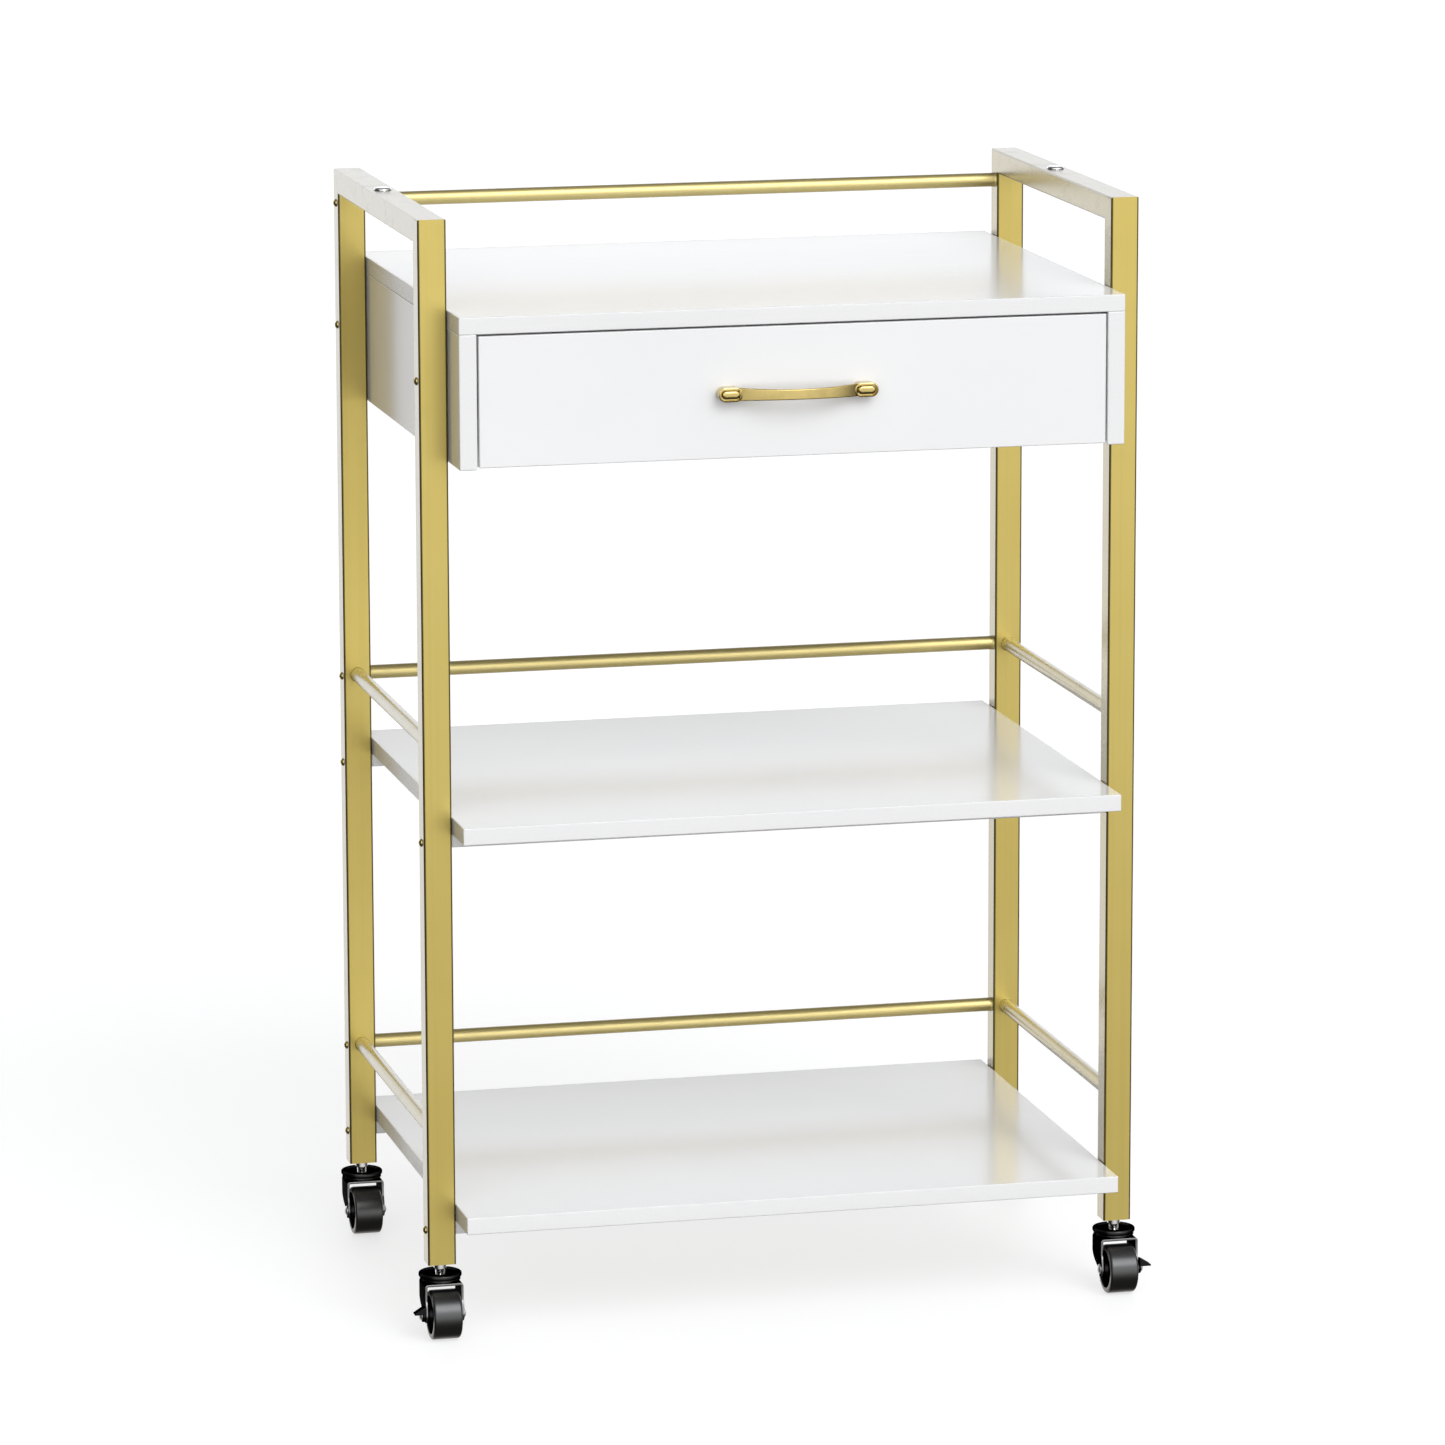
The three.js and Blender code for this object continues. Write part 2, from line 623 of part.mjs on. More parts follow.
for (const [corner, sign, y, braked] of corners) {
  const x = sign * POST_X;
  const pedalSpace = braked ? BRAKE_THICKNESS + PEDAL_GAP : 0;
  const leftSpace = sign < 0 ? pedalSpace : 0;
  const rightSpace = sign > 0 ? pedalSpace : 0;
  addPart(`${corner}_stem`, stemGeometry().translate(x, y, 0), chrome);
  addPart(`${corner}_dish`, dishGeometry().translate(x, y, 0), blackSteel);
  addPart(`${corner}_fork`, forkGeometry().translate(x, y, 0), blackSteel);
  addPart(`${corner}_axle`, axleGeometry(leftSpace, rightSpace).translate(x, y, 0), chrome);
  addPart(`${corner}_wheel`, wheelGeometry().translate(x, y, 0), blackPlastic);
  if (braked) {
    addPart(`${corner}_brake`, brakeGeometry(sign).translate(x, y, 0), blackPlastic);
  }
}

export default stand;
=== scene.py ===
"""The finished look of the mobile printer stand, laid out as an add-on and run as a script."""

import math

import bmesh
import bpy
from bpy.props import FloatProperty, FloatVectorProperty, PointerProperty
from mathutils import Euler, Matrix, Vector


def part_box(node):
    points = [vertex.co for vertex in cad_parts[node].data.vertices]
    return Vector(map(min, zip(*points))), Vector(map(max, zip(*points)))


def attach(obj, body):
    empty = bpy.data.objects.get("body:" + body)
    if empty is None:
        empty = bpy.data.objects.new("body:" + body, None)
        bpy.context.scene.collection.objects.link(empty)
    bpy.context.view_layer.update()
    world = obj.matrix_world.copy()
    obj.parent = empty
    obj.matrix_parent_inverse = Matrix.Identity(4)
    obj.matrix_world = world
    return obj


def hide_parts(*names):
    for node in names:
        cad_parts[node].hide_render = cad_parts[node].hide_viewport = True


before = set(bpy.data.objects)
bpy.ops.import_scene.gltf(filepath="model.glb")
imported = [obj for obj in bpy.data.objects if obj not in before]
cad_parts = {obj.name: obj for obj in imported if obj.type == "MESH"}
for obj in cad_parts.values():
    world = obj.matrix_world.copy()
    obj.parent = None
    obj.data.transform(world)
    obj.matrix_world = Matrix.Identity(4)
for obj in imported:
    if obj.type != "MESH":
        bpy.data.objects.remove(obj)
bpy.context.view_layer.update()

bl_info = {
    "name": "Mobile printer stand",
    "version": (1, 0, 0),
    "blender": (4, 5, 0),
    "location": "3D View > Sidebar > Printer stand",
    "description": "Builds the boards, tubes, drawer and casters of a rolling printer stand",
    "category": "Add Mesh",
}

SIDES = ("left", "right")
CORNERS = ("front_left", "front_right", "rear_left", "rear_right")
LEVELS = ("top", "mid", "low")
MM = 0.001
# Two places nearer than this are taken to be the same.
CLOSE = 0.01 * MM
# How far a wheel's axle lies in front of its swivel axis.
WHEEL_TRAIL = 15 * MM
# The camera's sensor, in millimetres.
SENSOR_WIDTH = 36


# ---- sizes and colours that a user may change ----

def length(name, description, default):
    return FloatProperty(
        name=name, description=description, default=default, min=0.0, unit="LENGTH", precision=5)


def colour(name, description, default):
    return FloatVectorProperty(
        name=name, description=description, default=default, size=3, min=0.0, max=1.0,
        subtype="COLOR")


class StandSizes(bpy.types.PropertyGroup):
    tube_corner: length("Tube corner", "Outer corner radius of the square tubes", 1.6 * MM)
    tube_wall: length("Tube wall", "Wall of the square tubes at their open feet", 1.5 * MM)
    board_edge: length("Board edge", "Rounding of the boards' edges", 0.9 * MM)
    drawer_edge: length("Drawer edge", "Rounding of the drawer's edges", 0.8 * MM)
    screw_head: length("Screw head", "Radius of the small round screw heads", 3.4 * MM)
    screw_rise: length("Screw rise", "Height of the small round screw heads", 2.1 * MM)
    sheet_edge: length("Sheet edge", "Rounding of the forks' pressed edges", 0.45 * MM)
    handle_waist: FloatProperty(
        name="Handle waist", description="Height of the strap at the middle, as a share of its ends",
        default=0.8, min=0.4, max=1.0, subtype="FACTOR")


class StandColours(bpy.types.PropertyGroup):
    gold: colour("Gold", "Satin gold of the tubes", (0.62, 0.495, 0.155))
    gold_deep: colour("Deep gold", "Darker clouds in the gold", (0.58, 0.455, 0.13))
    # Painted sheen: this paler gold, blended into the rails, stands in for the white light reflected on
    # their round tops.
    gold_painted_sheen: colour("Pale gold", "Blended into the gold of the round rails", (0.86, 0.76, 0.43))
    brass: colour("Brass", "Bright gold of the handle and screws", (0.575, 0.448, 0.168))
    board: colour("Board", "White laminate of the boards", (0.87, 0.87, 0.87))
    board_shade: colour("Board shade", "Faint clouds in the laminate", (0.85, 0.85, 0.85))
    gloss_black: colour("Gloss black", "Painted forks and dishes", (0.05, 0.05, 0.051))
    tread: colour("Tread", "Grey-black of the wheels' treads", (0.004, 0.004, 0.0042))
    steel: colour("Steel", "Bright plated steel", (0.82, 0.82, 0.83))
    zinc: colour("Zinc", "Dull plating of the runners", (0.52, 0.53, 0.54))


class StandView(bpy.types.PropertyGroup):
    place: FloatVectorProperty(
        name="Camera place", description="Where the camera stands", size=3, subtype="TRANSLATION",
        default=(-1.41737, -5.79187, 1.64272))
    yaw: FloatProperty(
        name="Yaw", description="Turn to the right of straight ahead along Y", subtype="ANGLE",
        default=math.radians(13.631))
    pitch: FloatProperty(
        name="Pitch", description="Tilt downwards", subtype="ANGLE", default=math.radians(11.128))
    roll: FloatProperty(
        name="Roll", description="Turn about the line of sight", subtype="ANGLE",
        default=math.radians(-0.152))
    focal: FloatProperty(
        name="Focal length", description=f"Focal length on a {SENSOR_WIDTH} mm wide sensor", default=180.56,
        min=10.0, unit="CAMERA")


def sizes():
    """The sizes that the user may change, as they stand now."""
    return bpy.context.scene.stand_sizes


def colours():
    return bpy.context.scene.stand_colours


# ---- finishes: shader numbers with Python arithmetic, and one builder per material ----

# A Mix node's sockets when it mixes colours; its number and vector sockets lie between them.
MIX_FACTOR, MIX_FIRST, MIX_SECOND, MIX_COLOUR = 0, 6, 7, 2
# The lacquer's tone, and how far the surface leans away where it starts to show and covers all.
LACQUER_TONE = (0.485, 0.468, 0.42, 1.0)
LACQUER_SLANT = (0.46, 0.83)
# Brush lines per metre, across the grain and along it.
BRUSH_FINE, BRUSH_LONG = 1900.0, 12.0
UPRIGHT = (BRUSH_FINE, BRUSH_FINE, BRUSH_LONG)
FORE_AFT = (BRUSH_FINE, BRUSH_LONG, BRUSH_FINE)
ACROSS = (BRUSH_LONG, BRUSH_FINE, BRUSH_FINE)
# The rails are rougher, and this share of their gold is the paler painted sheen.
RAIL_ROUGHNESS, RAIL_PAINTED_SHEEN = 0.42, 0.5


class Number:
    """A number socket that grows Math nodes when it is used in arithmetic."""

    def __init__(self, finish, socket):
        self.finish = finish
        self.socket = socket

    def join(self, operation, first, second):
        node = self.finish.add("ShaderNodeMath", {"operation": operation}, {0: first, 1: second})
        return Number(self.finish, node.outputs[0])

    def __add__(self, other):
        return self.join("ADD", self, other)

    def __sub__(self, other):
        return self.join("SUBTRACT", self, other)

    def __rsub__(self, other):
        return self.join("SUBTRACT", other, self)

    def __mul__(self, other):
        return self.join("MULTIPLY", self, other)

    __radd__ = __add__
    __rmul__ = __mul__

    def spread(self, low, high):
        """The number stretched so that low becomes 0 and high becomes 1, and held there."""
        node = self.finish.add(
            "ShaderNodeMapRange", {"clamp": True, "interpolation_type": "SMOOTHSTEP"},
            {"Value": self, "From Min": low, "From Max": high, "To Min": 0.0, "To Max": 1.0})
        return Number(self.finish, node.outputs[0])


class Nodes:
    """A node tree under construction."""

    def __init__(self, tree):
        self.tree = tree

    def add(self, kind, settings=None, sockets=None):
        node = self.tree.nodes.new(kind)
        for setting, value in (settings or {}).items():
            setattr(node, setting, value)
        for socket, value in (sockets or {}).items():
            self.feed(node.inputs[socket], value)
        return node

    def feed(self, socket, value):
        if isinstance(value, Number):
            value = value.socket
        if isinstance(value, bpy.types.NodeSocket):
            self.tree.links.new(value, socket)
        else:
            socket.default_value = value

    def blend(self, factor, first, second):
        """A colour that goes from the first to the second as the factor goes from 0 to 1."""
        node = self.add("ShaderNodeMix", {"data_type": "RGBA"}, {
            MIX_FACTOR: factor, MIX_FIRST: self.rgba(first), MIX_SECOND: self.rgba(second)})
        return node.outputs[MIX_COLOUR]

    @staticmethod
    def rgba(value):
        if isinstance(value, bpy.types.NodeSocket):
            return value
        return (*tuple(value)[:3], 1.0)


class Finish(Nodes):
    """A material under construction: its nodes and the shader that they feed."""

    def __init__(self, name, **constants):
        self.material = bpy.data.materials.new(name)
        self.material.use_nodes = True
        super().__init__(self.material.node_tree)
        self.shader = self.tree.nodes["Principled BSDF"]
        self.spot = self.add("ShaderNodeTexCoord").outputs["Object"]
        for socket, value in constants.items():
            self.shader.inputs[socket.replace("_", " ")].default_value = value

    def mapped(self, stretch, shift):
        """The point on the object, stretched along each axis and shifted."""
        if isinstance(stretch, float):
            stretch = (stretch, stretch, stretch)
        node = self.add(
            "ShaderNodeMapping", None, {"Vector": self.spot, "Scale": stretch, "Location": shift})
        return node.outputs[0]

    def noise(self, stretch, detail=2.0, roughness=0.5, shift=(0.0, 0.0, 0.0)):
        """Noise whose cells are 1/stretch metres long along each axis of the object."""
        node = self.add("ShaderNodeTexNoise", None, {
            "Vector": self.mapped(stretch, shift), "Scale": 1.0, "Detail": detail, "Roughness": roughness})
        return Number(self, node.outputs[0])

    def specks(self, stretch, shift=(0.0, 0.0, 0.0)):
        """The distance to the nearest of many scattered points, stretch of them to a metre."""
        node = self.add(
            "ShaderNodeTexVoronoi", None, {"Vector": self.mapped(stretch, shift), "Scale": 1.0})
        return Number(self, node.outputs["Distance"])

    def lacquer(self, roughness):
        """Lays a clear gloss over the shader that shows where the surface is seen at a slant."""
        gloss = self.add("ShaderNodeBsdfPrincipled", None, {
            "Base Color": LACQUER_TONE, "Metallic": 1.0, "Roughness": roughness})
        slant = Number(
            self, self.add("ShaderNodeLayerWeight", None, {"Blend": 0.5}).outputs["Facing"])
        mixed = self.add("ShaderNodeMixShader", None, {
            0: slant.spread(*LACQUER_SLANT), 1: self.shader.outputs[0], 2: gloss.outputs[0]})
        self.feed(self.tree.nodes["Material Output"].inputs["Surface"], mixed.outputs[0])

    def mark(self, name):
        """A number that the modelling left on the faces, such as 1 along rounded edges."""
        node = self.add("ShaderNodeAttribute", {"attribute_name": name})
        return Number(self, node.outputs["Fac"])

    def shade(self, socket, value):
        self.feed(self.shader.inputs[socket], value)

    def relief(self, height, depth, strength):
        """Raises the surface by up to depth metres where the height is 1."""
        bump = self.add(
            "ShaderNodeBump", None, {"Height": height, "Distance": depth, "Strength": strength})
        self.shade("Normal", bump.outputs[0])


def dimmed(values, share):
    return [value * share for value in values]


def brushed_gold(name, grain, roughness=0.3, painted_sheen_share=0.0):
    """Satin gold plate under clear lacquer, with brush lines along the axis of least grain.

    The lacquer shows where the surface is seen at a slant. The rails get a paler gold blended in, a painted
    sheen for the white light on their round tops.
    """
    finish = Finish(name, Metallic=1.0)
    lines = finish.noise(grain, detail=3.0, roughness=0.65)
    streaks = finish.noise(dimmed(grain, 1 / 7), detail=2.0, shift=(3.1, 1.7, 5.3))
    clouds = finish.noise(11.0, detail=3.0, shift=(0.4, 2.2, 7.1))
    blast = finish.noise(1400.0, detail=2.0, shift=(1.4, 0.2, 3.1))
    prints = finish.noise(60.0, detail=4.0, roughness=0.6, shift=(8.0, 1.0, 2.0)).spread(0.5, 0.74)
    edge = finish.mark("edge")
    tone = finish.blend(clouds.spread(0.3, 0.75) * 0.6, colours().gold, colours().gold_deep)
    # Painted sheen: the rails' paler gold stands in for the white light on their round tops.
    tone = finish.blend(painted_sheen_share, tone, colours().gold_painted_sheen)
    deep = dimmed(colours().gold_deep, 0.88)
    tone = finish.blend(streaks.spread(0.4, 0.8) * 0.22 + blast * 0.18, tone, deep)
    # Painted shade: the rounded corners of the tubes are darkened almost to black, standing in for the dark
    # reflections along them.
    tone = finish.blend(edge * 0.9, tone, dimmed(colours().gold_deep, 0.2))
    finish.shade("Base Color", tone)
    finish.shade("Roughness", lines * 0.07 + prints * 0.05 + roughness - edge * 0.04)
    finish.relief(lines + blast * 0.6, 0.008 * MM, 0.4)
    finish.lacquer(lines * 0.1 + prints * 0.05 + 0.2)
    return finish.material


def cast_gold():
    """Bright gold of the cast handle and of the screw heads, with faint polishing swirls."""
    finish = Finish("bright_gold", Metallic=1.0, Coat_Weight=0.3, Coat_Roughness=0.05)
    swirl = finish.noise(420.0, detail=4.0, roughness=0.6)
    clouds = finish.noise(70.0, detail=2.0, shift=(2.0, 5.0, 1.0))
    finish.shade("Base Color", finish.blend(
        clouds.spread(0.35, 0.7), colours().brass, dimmed(colours().brass, 0.88)))
    finish.shade("Roughness", swirl * 0.1 + 0.11)
    finish.relief(swirl, 0.01 * MM, 0.5)
    return finish.material


def white_laminate():
    """Melamine laminate: a faint orange peel, pores, and a slightly duller edge band."""
    finish = Finish("white_laminate", Specular_IOR_Level=0.55, Coat_Weight=0.1, Coat_Roughness=0.1)
    peel = finish.noise(900.0, detail=3.0, roughness=0.55)
    waves = finish.noise(26.0, detail=2.0, shift=(4.0, 4.0, 9.0))
    clouds = finish.noise(5.0, detail=4.0, shift=(1.0, 8.0, 3.0))
    pores = (1 - finish.specks(240.0).spread(0.03, 0.09)) * 0.5
    rub = finish.noise((14.0, 160.0, 160.0), detail=3.0, shift=(6.0, 2.0, 2.0)).spread(0.62, 0.8)
    edge = finish.mark("edge")
    tone = finish.blend(clouds.spread(0.35, 0.7), colours().board, colours().board_shade)
    tone = finish.blend(pores * 0.12, tone, (0.66, 0.66, 0.65))
    tone = finish.blend(edge * 0.18, tone, (0.70, 0.69, 0.67))
    finish.shade("Base Color", tone)
    finish.shade("Roughness", peel * 0.06 + rub * 0.05 + edge * 0.1 + 0.15)
    finish.relief(peel + waves * 1.5 - pores, 0.014 * MM, 0.5)
    return finish.material


def raw_board():
    """The thin board of the drawer's floor, with a plain fine linen print."""
    finish = Finish("drawer_floor_board", Specular_IOR_Level=0.4)
    warp = finish.noise((900.0, 60.0, 900.0), detail=2.0)
    weft = finish.noise((60.0, 900.0, 900.0), detail=2.0, shift=(2.0, 0.0, 4.0))
    weave = (warp + weft) * 0.5
    finish.shade("Base Color", finish.blend(
        weave.spread(0.35, 0.7), (0.80, 0.80, 0.79), (0.72, 0.72, 0.71)))
    finish.shade("Roughness", weave * 0.2 + 0.4)
    finish.relief(weave, 0.03 * MM, 0.5)
    return finish.material


# Keeps a black piece black where it is seen at a slant, as a dark room round it would.
DARK_SLANT = (0.1, 0.1, 0.1, 1.0)


def black_gloss():
    """Black paint on pressed steel: orange peel, and a painted highlight of lighter grey along the rounded
    edges.
    """
    finish = Finish("black_gloss_paint", Metallic=1.0, Specular_Tint=DARK_SLANT)
    peel = finish.noise(520.0, detail=3.0)
    dust = finish.noise(140.0, detail=5.0, roughness=0.7, shift=(3.0, 1.0, 6.0)).spread(0.56, 0.8)
    edge = finish.mark("edge")
    tone = finish.blend(dust * 0.35, colours().gloss_black, (0.06, 0.06, 0.06))
    # Painted highlight: the faces marked as edge are lightened towards grey, standing in for glints of the
    # key light.
    finish.shade("Base Color", finish.blend(edge * 0.6, tone, (0.32, 0.32, 0.32)))
    finish.shade("Roughness", peel * 0.08 + dust * 0.1 + 0.12)
    finish.relief(peel, 0.02 * MM, 0.6)
    return finish.material


def moulded_black(name, base, roughness, **constants):
    """Moulded black nylon: fine grain, flow marks and light scuffs."""
    finish = Finish(name, **constants)
    grain = finish.noise(1500.0, detail=2.0)
    flow = finish.noise((40.0, 160.0, 160.0), detail=3.0, shift=(5.0, 3.0, 1.0))
    scuffs = finish.noise(300.0, detail=6.0, roughness=0.75, shift=(9.0, 4.0, 4.0)).spread(0.55, 0.78)
    finish.shade("Base Color", finish.blend(
        scuffs * 0.5 + flow * 0.1, base, [c * 1.6 + 0.003 for c in base]))
    finish.shade("Roughness", grain * 0.12 + scuffs * 0.14 + flow * 0.05 + roughness)
    finish.relief(grain + flow, 0.02 * MM, 0.6)
    return finish.material


def plated_steel(name, base, roughness, spangle):
    """Chrome or zinc plate: hairline scratches, and soft spangles on the dull kind."""
    finish = Finish(name, Metallic=1.0)
    hair = finish.noise((1800.0, 90.0, 1800.0), detail=3.0)
    flakes = finish.specks(220.0, shift=(4.0, 0.0, 2.0))
    finish.shade("Base Color", finish.blend(
        flakes.spread(0.1, 0.8) * spangle, base, dimmed(base, 0.8)))
    finish.shade("Roughness", hair * 0.1 + flakes * (0.16 * spangle) + roughness)
    finish.relief(hair, 0.008 * MM, 0.5)
    return finish.material


def floor_finish():
    """The pale floor, with a faint glow of its own that keeps it white."""
    finish = Finish("studio_floor", Emission_Color=(1.0, 1.0, 1.0, 1.0), Emission_Strength=0.66)
    clouds = finish.noise(1.1, detail=2.0)
    finish.shade("Base Color", finish.blend(clouds, (0.46, 0.46, 0.465), (0.48, 0.48, 0.48)))
    finish.shade("Roughness", clouds * 0.1 + 0.6)
    return finish.material


FINISHES = {
    "gold_upright": lambda: brushed_gold("satin_gold_upright", UPRIGHT),
    "gold_fore_aft": lambda: brushed_gold("satin_gold_fore_aft", FORE_AFT),
    "rail_fore_aft": lambda: brushed_gold(
        "satin_rail_fore_aft", FORE_AFT, RAIL_ROUGHNESS, RAIL_PAINTED_SHEEN),
    "rail_across": lambda: brushed_gold("satin_rail_across", ACROSS, RAIL_ROUGHNESS, RAIL_PAINTED_SHEEN),
    "bright_gold": cast_gold,
    "laminate": white_laminate,
    "drawer_floor": raw_board,
    "gloss_black": black_gloss,
    "tread": lambda: moulded_black(
        "wheel_tread", colours().tread, 0.23, Specular_IOR_Level=1.0),
    "hub": lambda: moulded_black(
        "wheel_hub", (0.02, 0.02, 0.021), 0.26, Metallic=1.0, Specular_Tint=DARK_SLANT),
    "plug": lambda: moulded_black("black_plug", (0.012, 0.012, 0.012), 0.4),
    "rivet": lambda: plated_steel("burnished_rivet", (0.95, 0.95, 0.95), 0.36, 0.0),
    "chrome": lambda: plated_steel("bright_chrome", colours().steel, 0.06, 0.0),
    "zinc": lambda: plated_steel("dull_zinc", colours().zinc, 0.24, 1.0),
    "floor": floor_finish,
}
made_finishes = {}


def finish_named(name):
    if name not in made_finishes:
        made_finishes[name] = FINISHES[name]()
    return made_finishes[name]


# ---- bench work: small modelling steps shared by the pieces ----

def put_down():
    """Leaves edit mode and deselects everything."""
    if bpy.context.mode != "OBJECT":
        bpy.ops.object.mode_set(mode="OBJECT")
    bpy.ops.object.select_all(action="DESELECT")


def pick_up(piece):
    put_down()
    piece.select_set(True)
    bpy.context.view_layer.objects.active = piece


def settle(piece, location=None, rotation=None, scale=None):
    """Moves the piece if asked, then puts its place into its mesh."""
    pick_up(piece)
    if location is not None:
        piece.location = location
    if rotation is not None:
        piece.rotation_euler = rotation
    if scale is not None:
        piece.scale = scale
    bpy.ops.object.transform_apply(location=True, rotation=True, scale=True)
    return piece


def named(name):
    piece = bpy.context.object
    piece.name = name
    piece.data.name = name
    return piece


def cube(name, low, high):
    put_down()
    low, high = Vector(low), Vector(high)
    bpy.ops.mesh.primitive_cube_add(size=1, location=(low + high) / 2, scale=high - low)
    return settle(named(name))


def open_mesh(piece):
    """Enters edit mode on the piece with nothing selected."""
    pick_up(piece)
    bpy.ops.object.mode_set(mode="EDIT")
    bpy.ops.mesh.select_mode(type="EDGE")
    bpy.ops.mesh.select_all(action="DESELECT")


def choose(piece, kind, test):
    """Selects the mesh's verts, edges or faces that pass the test, and nothing else."""
    bpy.ops.mesh.select_mode(type={"verts": "VERT", "edges": "EDGE", "faces": "FACE"}[kind])
    bpy.ops.mesh.select_all(action="DESELECT")
    mesh = bmesh.from_edit_mesh(piece.data)
    found = [part for part in getattr(mesh, kind) if test(part)]
    for part in found:
        part.select_set(True)
    mesh.select_flush_mode()
    bmesh.update_edit_mesh(piece.data)
    if not found:
        raise RuntimeError(f"{piece.name}: no {kind} to work on")


def middle(part):
    return sum((v.co for v in part.verts), Vector()) / len(part.verts)


def is_sharp(edge, angle=0.6):
    return len(edge.link_faces) == 2 and edge.calc_face_angle() > angle


def is_crisp(edge):
    return is_sharp(edge, 1.2)


def runs_along(edge, axis):
    line = (edge.verts[1].co - edge.verts[0].co).normalized()
    return abs(line[axis]) > 0.999


def extrude(x=0.0, y=0.0, z=0.0):
    bpy.ops.mesh.extrude_region_move(TRANSFORM_OT_translate={"value": (x, y, z)})


def extrude_edges(y, z):
    bpy.ops.mesh.extrude_edges_move(TRANSFORM_OT_translate={"value": (0, y, z)})


def resize(value, centre):
    bpy.ops.transform.resize(value=value, center_override=centre)


def bevel(width, segments):
    bpy.ops.mesh.bevel(offset=width, segments=segments, profile=0.5, affect="EDGES")


def face_outwards():
    bpy.ops.mesh.select_all(action="SELECT")
    bpy.ops.mesh.normals_make_consistent(inside=False)


def cut(point, normal):
    bpy.ops.mesh.select_all(action="SELECT")
    bpy.ops.mesh.bisect(plane_co=point, plane_no=normal)


def round_edges(piece, width, test, segments=3):
    """Rounds the edges that pass the test and marks the new faces as edge."""
    open_mesh(piece)
    choose(piece, "edges", test)
    bevel(width, segments)
    bpy.ops.object.mode_set(mode="OBJECT")
    attribute = piece.data.attributes.get("edge")
    if attribute is None:
        attribute = piece.data.attributes.new("edge", "FLOAT", "FACE")
    for face in piece.data.polygons:
        if face.select:
            attribute.data[face.index].value = 1.0


def thicken(piece, thickness):
    """Gives a bent sheet its thickness, inwards from its faces."""
    pick_up(piece)
    sheet = piece.modifiers.new("sheet", "SOLIDIFY")
    sheet.thickness = thickness
    sheet.offset = -1
    bpy.ops.object.modifier_apply(modifier=sheet.name)


def smooth(piece, angle=35.0):
    """Smooth shading that keeps the flat faces flat between their rounded edges."""
    pick_up(piece)
    bpy.ops.object.shade_smooth_by_angle(angle=math.radians(angle))
    modifier = piece.modifiers.new("flat faces", "WEIGHTED_NORMAL")
    modifier.keep_sharp = True
    modifier.weight = 100
    bpy.ops.object.modifier_apply(modifier=modifier.name)


def place(piece, body, slot, finish, *nodes):
    """Gives a finished piece its material and its body, and hides the CAD nodes that it stands for."""
    if finish and not piece.data.materials:
        piece.data.materials.append(finish_named(finish))
    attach(piece, body)
    if nodes:
        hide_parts(*nodes)
    put_down()


def copy_of(piece, name):
    """A copy with its own mesh."""
    twin = piece.copy()
    twin.data = piece.data.copy()
    twin.name = name
    twin.data.name = name
    bpy.context.scene.collection.objects.link(twin)
    return twin


def joined(pieces):
    put_down()
    for piece in pieces:
        piece.select_set(True)
    bpy.context.view_layer.objects.active = pieces[0]
    bpy.ops.object.join()
    return pieces[0]


def turned(name, profile, sides=48):
    """A turned piece about Z: a circle is extruded and resized from ring to ring.

    The profile lists (height, radius). Its ends are capped, or joined if they meet.
    """
    put_down()
    height, radius = profile[0]
    bpy.ops.mesh.primitive_circle_add(vertices=sides, radius=radius, location=(0, 0, height))
    piece = settle(named(name))
    open_mesh(piece)
    bpy.ops.mesh.select_all(action="SELECT")
    for next_height, next_radius in profile[1:]:
        extrude_edges(0, next_height - height)
        resize((next_radius / radius, next_radius / radius, 1), (0, 0, next_height))
        height, radius = next_height, next_radius
    bpy.ops.mesh.select_all(action="SELECT")
    bpy.ops.mesh.remove_doubles(threshold=1e-7)
    bpy.ops.mesh.fill_holes(sides=0)
    face_outwards()
    bpy.ops.object.mode_set(mode="OBJECT")
    return piece


def arc(height, radius, reach, start, end, steps):
    """Profile points on an arc of the given reach round (height, radius), angles in degrees."""
    points = []
    for step in range(steps + 1):
        angle = math.radians(start + (end - start) * step / steps)
        points.append((height + reach * math.sin(angle), radius + reach * math.cos(angle)))
    return points


def mirrored(profile):
    """The profile of the other end of a turned piece that is the same at both."""
    return [(-height, radius) for height, radius in reversed(profile)]


ALONG_X = Euler((0.0, math.pi / 2, 0.0))
ALONG_Y = Euler((math.pi / 2, 0.0, 0.0))


def facing_x(sign):
    """The turn that points a piece's +Z along +X or -X."""
    return Euler((0.0, sign * math.pi / 2, 0.0))


def caster_foot(corner):
    """The point on the floor under a caster's swivel axis."""
    low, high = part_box(f"{corner}_stem")
    return Vector(((low.x + high.x) / 2, (low.y + high.y) / 2, 0))


def wheel_centre(corner):
    low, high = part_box(f"{corner}_wheel")
    return (low + high) / 2


def fit_corners(pattern, name, body, slot, finish, part=None, spot=caster_foot, rotation=None, angle=35.0):
    """Copies a pattern to the four corners; spot gives the place of its own origin there.

    A body other than the frame, and the part's CAD node, take the corner's name in front.
    """
    for corner in CORNERS:
        piece = copy_of(pattern, f"{corner}_{name}")
        settle(piece, spot(corner), rotation)
        smooth(piece, angle)
        nodes = [f"{corner}_{part}"] if part else []
        place(piece, body if body == "frame" else f"{corner}_{body}", slot, finish, *nodes)
    bpy.data.objects.remove(pattern)


# ---- side frames, plugs and rails ----

FOOT_DEPTH = 6 * MM
WELD_BEAD = 0.45 * MM
PLUG_GAP = 0.1 * MM
PLUG_SUNK = 0.4 * MM
PLUG_TOP = 5 * MM
PLUG_FLANGE = 2.2 * MM
PLUG_DISH = 0.8 * MM


